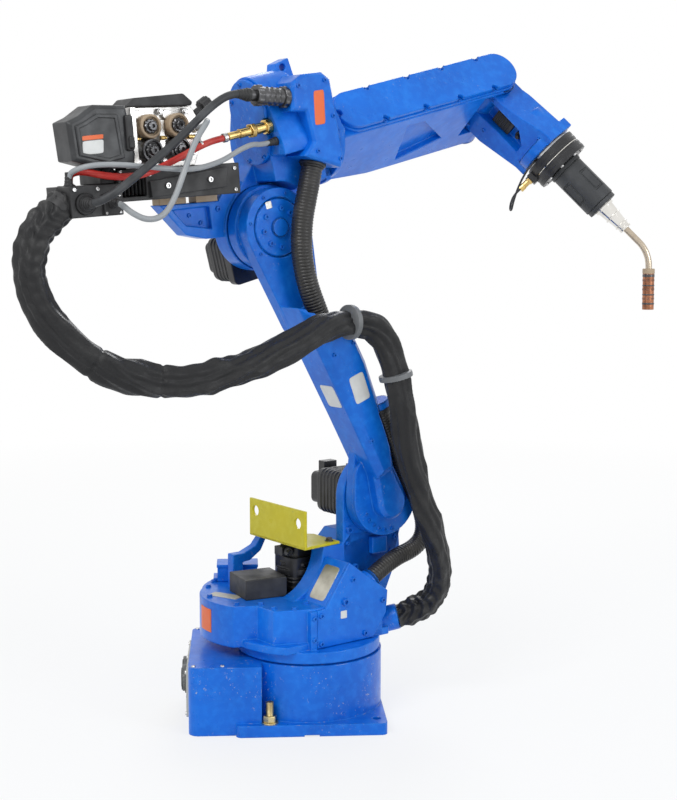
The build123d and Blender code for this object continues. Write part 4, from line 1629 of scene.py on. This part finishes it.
@dataclass
class FeederUnit(Unit):
    """The wire feeder: base on insulating pads, four rolls between their arms, door, handle and cable
    sockets."""

    body: ClassVar[str] = "upper_arm"
    frame: ClassVar[Matrix] = Place.feeder
    plate_y: float = -20.0
    near: float = -50.0
    base_top: float = 72.0
    pitch_x: float = 60.0
    pitch_z: float = 44.0

    def housings(self) -> None:
        """Pads, base, side panel, socket block, motor, feed plate and handle."""
        self.cast("feeder_pads", (box(-56, 4, 30, 58, 0, 14), box(26, 76, 30, 58, 0, 14)), 1.5).build(
            self.finishes.cream)
        base = box(-186, 78, self.near, 60, 14,
                   self.base_top).less(box(-178, -128, self.near - 1, -20, 22, 64))
        ribs = tuple(box(-172 + 8 * k, -169 + 8 * k, self.near + 4, -20, 24, 62) for k in range(6))
        self.cast("feeder_base", (base, box(-216, -186, -40, 40, 48, 74), *ribs), 1.8,
                  ("feeder_deck",)).build(self.finishes.black)
        panel = Prism(outline((-122, 18), (42, 28), (48, 66), (-124, 48)), self.near - 8, self.near)
        self.cast("feeder_side_panel", (panel,), 1.4).build(self.finishes.black)
        sockets = (box(-290, -186, -62, 30, -8, 48), Bar((-262, -62, 16), FRONT, ((19, 6), (15, 3))),
                   box(-228, -192, -68, -62, -8, 32), Bar(MOUTH, MOUTH_LEAN, ((28, 16), (26, 10)),
                edge=1.5))
        self.cast("feeder_sockets", sockets, 1.6).build(self.finishes.black)
        motor = (Prism(rounded(-42, 42, -42, 42, 10), -8, 130, Across.Y, Matrix.Translation((-74, 0, 118))),
                 *(Prism(rounded(-43.4, 43.4, -43.4, 43.4, 10), y, y + 5, Across.Y,
                         Matrix.Translation((-74, 0, 118))) for y in range(20, 110, 12)))
        self.cast("feed_motor", motor, 1.4).build(self.finishes.motor)
        plate = (Prism(outline((-147, self.base_top), (-147, 182), (-2, 182), (16, 152), (16, 112),
                               (-2, self.base_top)), self.plate_y, -8),
                 box(-147, -136, -46, self.plate_y, self.base_top, 182))
        self.cast("feed_plate", plate, 1.0, ("feeder_plate",)).build(self.finishes.aluminium)
        handle = Prism(outline((-146, 186), (-131, 199), (-24, 205), (-5, 189), (-8, 182), (-146, 182)),
                       -34, 30)
        self.cast("feeder_handle", (handle,), 3.0, segments=3).build(self.finishes.black)
        knob = (Bar(KNOB, KNOB_LEAN, ((6, 20),)),
                Bar(ahead(KNOB, KNOB_LEAN, 20), KNOB_LEAN, ((14, 22),), Outline.LOBED, 1.5, 80))
        self.cast("pressure_knob", knob, 0.4).build(self.finishes.black)

    def rolls(self) -> None:
        """Toothed rims, sunk faces, lobed caps and drive hubs on the four feed rolls."""
        rims, caps, dark = [], [], []
        for i in (0, 1):
            for j in (0, 1):
                where = (-104 + self.pitch_x * i, self.plate_y, 103 + self.pitch_z * j)
                rim = tuple(rings((21.4, 0), (22, 1), (22, 22), (20.6, 24), (17.5, 24.2), (17, 18.5)))
                (rims if j else dark).append(self.turned(where, FRONT, rim, 0, 64).grid())
                caps.append(self.turned(where, FRONT,
                                        tuple(rings((13.5, 16), (13.5, 22.5), (11.5, 24.5), (8.6, 24.7),
                        (8.6, 30), (7.4, 31.4), (3.4, 31.4), (3, 27), outline=Outline.LOBED)), 15 * i,
                                        60).grid())
        self.grids("upper_roll_rims", rims, self.finishes.cream)
        self.grids("lower_roll_rims", dark, self.finishes.dark_steel)
        self.grids("roll_caps", caps, self.finishes.dark_steel)

    def guides(self) -> None:
        """Wire guides between the rolls, the pressure arms over them and their pivot posts."""
        y = self.plate_y
        guides = tuple(Bar((x, y - 12, 125), AHEAD, ((4.2, long), (2.6, 5)))
                       for x, long in ((-136, 10), (-80, 9), (-20, 24)))
        self.cast("wire_guides", guides, 0.3).build(self.finishes.brass)
        posts = tuple(Bar((x, y, z), FRONT, ((7, 9), (5, 4)), Outline.HEX, 0.6, 36)
                      for x, z in ((-128, 172), (-74, 173), (-20, 172), (-74, 84), (-10, 96), (-128, 84),
                                   (4, 138)))
        self.cast("arm_posts", posts, 0.3).build(self.finishes.steel)
        arms = tuple(Prism(belt((x - 16, 168), 9, (x + 18, 160), 7), y - 8, y) for x in (-104, -44))
        self.cast("pressure_arms", (*arms, box(-80, -68, y - 10, y, 92, 158)), 1.2).build(
            self.finishes.aluminium)

    def door(self) -> None:
        """The bevelled door with its raised frame, hinge barrels, latch and blank plate."""
        shape = outline((-285, 160), (-262, 169), (-231, 188), (-165, 185), (-152, 98), (-156, 74),
                        (-218, 74), (-280, 92))
        door = Prism(shape, -66, -6, bevel_low=6.0)
        hinges = tuple(Bar((x, -40, 76), AHEAD, ((6, 18),)) for x in (-212, -182))
        self.cast("feeder_door", (door, *hinges), 2.2, ("feeder_cover",), 3).build(self.finishes.door)
        frame = Prism(outline((-272, 152), (-256, 158), (-228, 172), (-186, 170), (-178, 92), (-212, 86),
                              (-268, 100)), -69.5, -64, bevel_low=1.5)
        hollow = Prism(outline((-264, 148), (-252, 152), (-226, 165), (-193, 163), (-186, 98), (-210, 93),
                               (-261, 105)), -71, -67.4)
        self.cast("door_frame", (frame.less(hollow),), 0.8).build(self.finishes.door)
        latch = (Prism(rounded(-173, -158, 104, 168, 5), -73, -64, bevel_low=2.0),
                 Prism(rounded(-171, -160, 108, 130, 4), -79, -72, bevel_low=2.0))
        self.cast("door_latch", latch, 0.8).build(self.finishes.black)
        self.plate("door_plate", (-240, -67.4, 114), (-21, 0, -1), (1, 0, 12)).build(
            self.finishes.plate_white)
        self.plate("door_band", (-239, -67.4, 131), (-21, 0, -1), (0.3, 0, 4)).build(
            self.finishes.plate_orange)

    def screws(self) -> None:
        """Screws round the sockets and on the side panel."""
        self.heads("socket_screws", FRONT, ScrewHead.SOCKET,
                   ((-282, -62, 42, 3.6), (-236, -62, 41, 3.6), (-224, -68, 27, 2.2), (-196, -68, 27, 2.2),
                    (-224, -68, -3, 2.2), (-196, -68, -3, 2.2), (-88, -58, 38, 5.5),
                    (5, -58, 44, 5.5))).build(self.finishes.steel)
        self.heads("base_screws", FRONT, ScrewHead.SOCKET,
                   ((-120, self.near, 60, 3.6), (66, self.near, 62, 3.6), (66, self.near, 22, 3.6),
                    (-180, self.near, 68, 2.6))).build(self.finishes.steel)

    def build(self, nodes: dict) -> None:
        """Makes the feeder."""
        self.housings()
        self.rolls()
        self.guides()
        self.door()
        self.screws()
        LOG.info("feeder done")


@dataclass
class ForearmUnit(Unit):
    """The fork casting and its long cover."""

    body: ClassVar[str] = "forearm"
    frame: ClassVar[Matrix] = Place.forearm
    start: float = 148.0
    wrist: float = 640.0
    half: float = 48.0
    far: float = 147.0
    seat_y: float = -55.0

    def build(self, nodes: dict) -> None:
        """Makes the fork, the cover's rim and raised panel with a bite at each screw, and the screws."""
        body = Prism(outline((self.start, -80), (164, -80), (177, -48), (self.wrist, -48),
                             (self.wrist, self.far), (400, self.far), (208, 112), (162, 92),
                             (self.start, 90)), -self.half, self.half, Across.Z)
        window = outline((364, -21), (413, -18), (517, 75), (403, 113))
        cuts = [box(self.wrist - 62, self.wrist + 100, -40, 88, -100, 100), Prism(window, -49, -34, Across.Z),
                Prism(window, 34, 49, Across.Z)]
        for side in (-1, 1):
            cuts.append(Prism(outline((133, 49 * side), (150, 49 * side), (150, 33 * side)), 300, 700,
                              Across.X))
        solids = (Prism(disc(0, 0, 90), self.start, self.start + 14, Across.X), body.less(*cuts),
                  Bar((self.wrist, 88, 0), REAR, ((48, 52), (41, 7)), edge=1.0),
                  Bar((self.wrist, -48, 0), REAR, ((48, 8),), edge=0.5),
                  Bar((self.wrist, -40, 0), REAR, ((34, 3.7),), edge=0.2),
                  Bar((self.wrist, 84.3, 0), REAR, ((34, 3.7),), edge=0.2))
        self.cast("forearm_fork", solids, 2.2, ("forearm_casting",), 3).build(self.finishes.blue)
        rim = Prism(belt((224, 0), 46, (self.wrist, 0), 46), self.seat_y, -48)
        self.cast("cover_rim", (rim,), 1.2, ("forearm_cover",)).build(self.finishes.blue)
        spots = [(x, side * 41.0) for x in (286, 397, 495, 597) for side in (-1, 1)] + [(186.0, 0.0)]
        panel = Prism(belt((224, 0), 43, (self.wrist, 0), 43), -66, self.seat_y)
        bites = tuple(Bar((x, -54, z), FRONT, ((8, 30),), edge=0.1) for x, z in spots)
        self.cast("cover_panel", (panel.less(*bites),), 2.2, segments=3).build(self.finishes.blue)
        self.heads("cover_screws", FRONT, ScrewHead.SOCKET,
                   tuple((x, self.seat_y, z, 4.4) for x, z in spots)).build(self.finishes.screw_blue)
        ring = [(self.start + 14, 80 * math.cos(math.radians(a)), 80 * math.sin(math.radians(a)), 3.6)
                for a in (150, 180, 210)]
        self.heads("root_screws", AHEAD, ScrewHead.SOCKET, tuple(ring)).build(self.finishes.screw_blue)
        self.heads("far_cap_screws", REAR, ScrewHead.SOCKET,
                   tuple((self.wrist + 32 * math.cos(a), self.far, 32 * math.sin(a), 4.0)
                         for a in np.linspace(0, 2 * np.pi, 7)[:-1])).build(self.finishes.screw_blue)
        LOG.info("forearm done")


@dataclass
class WristUnit(Unit):
    """The wrist: hub in the fork, hollow throat and the round end that carries the tool."""

    body: ClassVar[str] = "wrist"
    frame: ClassVar[Matrix] = Place.wrist
    near: float = -36.0
    far: float = 84.0
    end: float = 194.0
    half: float = 42.0

    def build(self, nodes: dict) -> None:
        """Makes the wrist casting, its throat and its screws."""
        arms = Prism(outline((0, self.near), (0, self.far), (70, self.far), (self.end - 24, 63),
                             (self.end, 63), (self.end, -63), (self.end - 24, -63), (100, -44),
                             (60, self.near)), -self.half, self.half, Across.Z)
        throat = outline((20, -20), (20, 30), (96, 28), (150, 30), (150, 8), (124, -18))
        flank = Prism(outline((-70, 14), (-70, 60), (-20, 60)), 40, self.end - 24, Across.X)
        solids = (Bar((0, self.near, 0), REAR, ((46, 120),), edge=1.5),
                  Bar((0, self.far - 16, 0), REAR, ((51, 10),)),
                  arms.less(Prism(throat, -self.half - 1, -self.half + 26, Across.Z), flank),
                  Bar((self.end - 24, 0, 0), AHEAD, ((63, 24),), edge=2.0),
                  Bar((112, -24, 8), AHEAD, ((29, 58),), edge=4.0))
        self.cast("wrist_body", solids, 2.2, ("wrist_casting",), 3).build(self.finishes.blue)
        plate = (box(60, 108, -12, 24, -30, -16),
                 *(box(64 + 8 * k, 67 + 8 * k, -9, 21, -33, -29) for k in range(5)),
                 Bar((128, 10, -16), DOWN, ((9, 6), (5, 8))))
        self.cast("throat_plate", plate, 0.8).build(self.finishes.black)
        self.heads("wrist_screws", DOWN, ScrewHead.SOCKET,
                   ((170, -40, -self.half, 4.2), (170, 40, -self.half, 4.2), (62, 52, -self.half, 4.0),
                    (12, 62, -self.half, 4.0), (40, -28, -self.half, 3.4))).build(self.finishes.screw_blue)
        LOG.info("wrist done")


@dataclass
class TorchUnit(Unit):
    """Flange, shock sensor, torch body, neck and nozzle."""

    body: ClassVar[str] = "tool"
    frame: ClassVar[Matrix] = Place.tool
    sensor_radius: float = 62.0
    body_start: float = 46.0
    neck_start: float = 238.0
    bend_radius: float = 75.0
    straight: float = 40.0
    tail: float = 6.0
    plug_turn: float = -10.0

    def rings_on_axis(self) -> None:
        """Turned rings along the tool's axis: the sensor's gap, the cone's collars and the body's bands."""
        axis = AHEAD
        bright = tuple(Bar((x, 0, 0), axis, ((r, long),), Outline.ROUND, 0.6, 72)
                       for x, r, long in ((20.5, 59, 3), (169, 22.5, 6), (197, 19.2, 4), (222, 16, 4),
                                          (232, 13.8, 6)))
        self.cast("bright_rings", bright, 0.2).build(self.finishes.nickel)
        dark = tuple(Bar((x, 0, 0), axis, ((r, long),), Outline.ROUND, 0.6, 72)
                     for x, r, long in ((1, 62.6, 6), (12, 62.6, 5), (26, 62.6, 5), (36, 62.6, 7)))
        self.cast("sensor_bands", dark, 0.2).build(self.finishes.motor)
        self.heads("sensor_screws", axis, ScrewHead.SOCKET,
                   tuple((46, 51 * math.cos(a), 51 * math.sin(a), 4.0)
                         for a in np.linspace(0, 2 * np.pi, 9)[:-1])).build(self.finishes.steel)

    def torch(self) -> None:
        """The torch body with four sunk flats, a grip block in each, and end collars."""
        body = Bar((self.body_start, 0, 0), AHEAD, ((39, 10), (37, 102), (35, 10)), Outline.ROUND, 1.2, 96)
        turns = [about(90 * k + 45, "X") for k in range(4)]
        flats = tuple(box(80, 134, -13, 13, 33, 46, turn) for turn in turns)
        grips = tuple(Prism(rounded(84, 130, -9, 9, 5), 31, 35.5, Across.Z, turn) for turn in turns)
        self.cast("torch_shell", (body.less(*flats), *grips), 1.2, ("torch_body",)).build(self.finishes.grip)

    def plug(self) -> None:
        """The sensor's cable socket and its brass plug."""
        turn = about(self.plug_turn, "X")
        self.cast("sensor_socket", (box(4, 28, 54, self.sensor_radius + 10, -13, 13, turn),), 1.5).build(
            self.finishes.motor)
        out = tuple(turn.to_3x3() @ Vector(REAR))
        seat = tuple(turn @ Vector((14, self.sensor_radius + 10, 0)))
        rest = (Bar(seat, out, ((7, 18), (8, 12)), Outline.ROUND, 0.6, 40),
                Bar(seat, out, ((9, 6),), Outline.HEX, 0.6, 36))
        self.cast("sensor_plug", rest, 0.3).build(self.finishes.brass)

    def nozzle(self) -> None:
        """The nozzle's insulating ring, its dark bands and rows of round wells."""
        bend = math.radians(45)
        knee = self.bend_radius * math.tan(bend / 2)
        way = np.array([math.cos(bend), math.sin(bend), 0.0])
        start = np.array([self.neck_start + self.straight + knee, 0.0, 0.0]) + way * (knee + self.tail)
        ring = Bar(tuple(start - way * 1.0), tuple(way), ((13.2, 11),), Outline.ROUND, 0.8, 48)
        self.cast("insulator_ring", (ring,), 0.3).build(self.finishes.cream)
        bands = tuple(Bar(tuple(start + way * at), tuple(way), ((13.1, long),), Outline.ROUND, 0.4, 48)
                      for at, long in ((11, 6), (34, 3), (54, 3), (73, 4)))
        self.cast("nozzle_bands", bands, 0.2).build(self.finishes.dark_steel)
        holes = []
        for a in np.linspace(0, 2 * np.pi, 9)[:-1]:
            out = math.cos(a) * np.array([-way[1], way[0], 0]) + math.sin(a) * np.array([0, 0, 1.0])
            for at in (24, 44, 64):
                holes.append(self.turned(tuple(start + way * at + out * 12.3), tuple(out),
                                         tuple(rings((2.4, -0.4), (2.4, 0.5), (1.7, 0.6), (1.5, -0.2))), 0,
                                         12).grid())
        self.grids("nozzle_wells", holes, self.finishes.dark_steel)

    def build(self, nodes: dict) -> None:
        """Paints the tool's nodes and adds its rings, torch body and plug."""
        paint(nodes, self.finishes.steel, "tool_flange")
        paint(nodes, self.finishes.motor, "shock_sensor")
        paint(nodes, self.finishes.nickel, "torch_cone")
        paint(nodes, self.finishes.neck, "torch_neck")
        paint(nodes, self.finishes.copper, "nozzle")
        self.rings_on_axis()
        self.torch()
        self.plug()
        self.nozzle()
        LOG.info("tool done")


# Studio

@dataclass
class Studio:
    """Pale floor, soft lamps, white background and the camera of the photograph's view."""

    camera_place: Point = (-0.127, -2.989, 1.021)
    azimuth: float = 3.64
    pitch: float = 6.92
    lens: float = 43.95
    sensor: float = 24.0

    def camera(self) -> None:
        """The camera; its pitch is below the horizon and its azimuth from +Y towards +X."""
        data = bpy.data.cameras.new("camera")
        data.sensor_fit = "VERTICAL"
        data.sensor_height = self.sensor
        data.lens = self.lens
        data.clip_end = 60
        camera = bpy.data.objects.new("camera", data)
        camera.location = self.camera_place
        camera.rotation_euler = (math.radians(90 - self.pitch), 0, math.radians(-self.azimuth))
        bpy.context.scene.collection.objects.link(camera)
        bpy.context.scene.camera = camera

    @staticmethod
    def seen(tree: bpy.types.NodeTree) -> bpy.types.NodeSocket:
        """1 for what the camera sees straight, in a mirror or through glass."""
        path = tree.nodes.new("ShaderNodeLightPath")
        total = path.outputs["Is Camera Ray"]
        for name in ("Is Glossy Ray", "Is Transmission Ray"):
            node = tree.nodes.new("ShaderNodeMath")
            node.operation = "MAXIMUM"
            tree.links.new(total, node.inputs[0])
            tree.links.new(path.outputs[name], node.inputs[1])
            total = node.outputs[0]
        return total

    def world(self) -> None:
        """White to the camera, and a plain pale light on the object."""
        world = bpy.data.worlds.new("studio")
        bpy.context.scene.world = world
        world.use_nodes = True
        tree = world.node_tree
        light = tree.nodes["Background"]
        light.inputs["Color"].default_value = (0.90, 0.95, 1.0, 1.0)
        light.inputs["Strength"].default_value = 0.62
        white = tree.nodes.new("ShaderNodeBackground")
        white.inputs["Color"].default_value = (1, 1, 1, 1)
        white.inputs["Strength"].default_value = 1.0
        mix = tree.nodes.new("ShaderNodeMixShader")
        tree.links.new(self.seen(tree), mix.inputs[0])
        tree.links.new(light.outputs[0], mix.inputs[1])
        tree.links.new(white.outputs[0], mix.inputs[2])
        tree.links.new(mix.outputs[0], tree.nodes["World Output"].inputs["Surface"])

    def floor(self) -> None:
        """A wide pale floor that keeps the object's shadow and is otherwise white to the camera.

        Its share of plain white grows from 0.72 within a metre of the object to 1 at four metres.
        """
        half = FLOOR_HALF
        mesh = bpy.data.meshes.new("floor")
        mesh.from_pydata([(-half, -half, 0), (half, -half, 0), (half, half, 0), (-half, half, 0)], [],
                         [(0, 1, 2, 3)])
        floor = bpy.data.objects.new("floor", mesh)
        bpy.context.scene.collection.objects.link(floor)
        material = bpy.data.materials.new("pale_floor")
        material.use_nodes = True
        tree = material.node_tree
        shader = tree.nodes["Principled BSDF"]
        shader.inputs["Base Color"].default_value = (0.86, 0.86, 0.86, 1)
        shader.inputs["Roughness"].default_value = 0.75
        glow = tree.nodes.new("ShaderNodeEmission")
        glow.inputs["Color"].default_value = (1, 1, 1, 1)
        place = tree.nodes.new("ShaderNodeTexCoord")
        far = tree.nodes.new("ShaderNodeVectorMath")
        far.operation = "LENGTH"
        grown = tree.nodes.new("ShaderNodeMapRange")
        for name, value in (("From Min", 1.0), ("From Max", 4.0), ("To Min", 0.72), ("To Max", 1.0)):
            grown.inputs[name].default_value = value
        share = tree.nodes.new("ShaderNodeMath")
        share.operation = "MULTIPLY"
        tree.links.new(place.outputs["Object"], far.inputs[0])
        tree.links.new(far.outputs["Value"], grown.inputs["Value"])
        tree.links.new(grown.outputs[0], share.inputs[1])
        mix = tree.nodes.new("ShaderNodeMixShader")
        tree.links.new(self.seen(tree), share.inputs[0])
        tree.links.new(share.outputs[0], mix.inputs[0])
        tree.links.new(shader.outputs[0], mix.inputs[1])
        tree.links.new(glow.outputs[0], mix.inputs[2])
        tree.links.new(mix.outputs[0], tree.nodes["Material Output"].inputs["Surface"])
        mesh.materials.append(material)

    def lamp(self, name: str, place: Point, aim: Point, power: float, size: float,
             colour: Colour = (1, 1, 1)) -> None:
        """One soft square lamp.

        Args:
            name: its name.
            place: where it stands, in metres.
            aim: the point that it faces.
            power: watts.
            size: its side.
            colour: its colour.
        """
        data = bpy.data.lights.new(name, "AREA")
        data.energy, data.size, data.color = power, size, colour
        lamp = bpy.data.objects.new(name, data)
        lamp.location = place
        lamp.rotation_euler = (Vector(aim) - Vector(place)).to_track_quat("-Z", "Y").to_euler()
        bpy.context.scene.collection.objects.link(lamp)

    def build(self) -> None:
        """Makes the studio."""
        bpy.context.scene.view_settings.view_transform = "Standard"
        self.camera()
        self.world()
        self.floor()
        self.lamp("key", (-1.6, -2.6, 3.2), (0, 0, 0.7), 62.0, 1.6)
        self.lamp("fill", (2.8, -2.2, 1.6), (0.1, 0, 0.7), 30.0, 1.4, (0.94, 0.97, 1.0))
        self.lamp("back", (0.6, 2.8, 2.6), (0, 0, 0.8), 36.0, 1.6)
        LOG.info("studio done")


def main() -> None:
    """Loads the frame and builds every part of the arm."""
    logging.basicConfig(level=logging.INFO, format="%(name)s: %(message)s")
    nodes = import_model()["nodes"]
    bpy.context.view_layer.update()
    finishes = Finishes()
    Studio().build()
    for unit in (BaseUnit(finishes), TurretUnit(finishes), LowerArmUnit(finishes), UpperArmUnit(finishes),
                 FeederUnit(finishes), ForearmUnit(finishes), WristUnit(finishes), TorchUnit(finishes)):
        unit.build(nodes)
    DressPack(finishes).build()


if __name__ == "__main__":
    main()
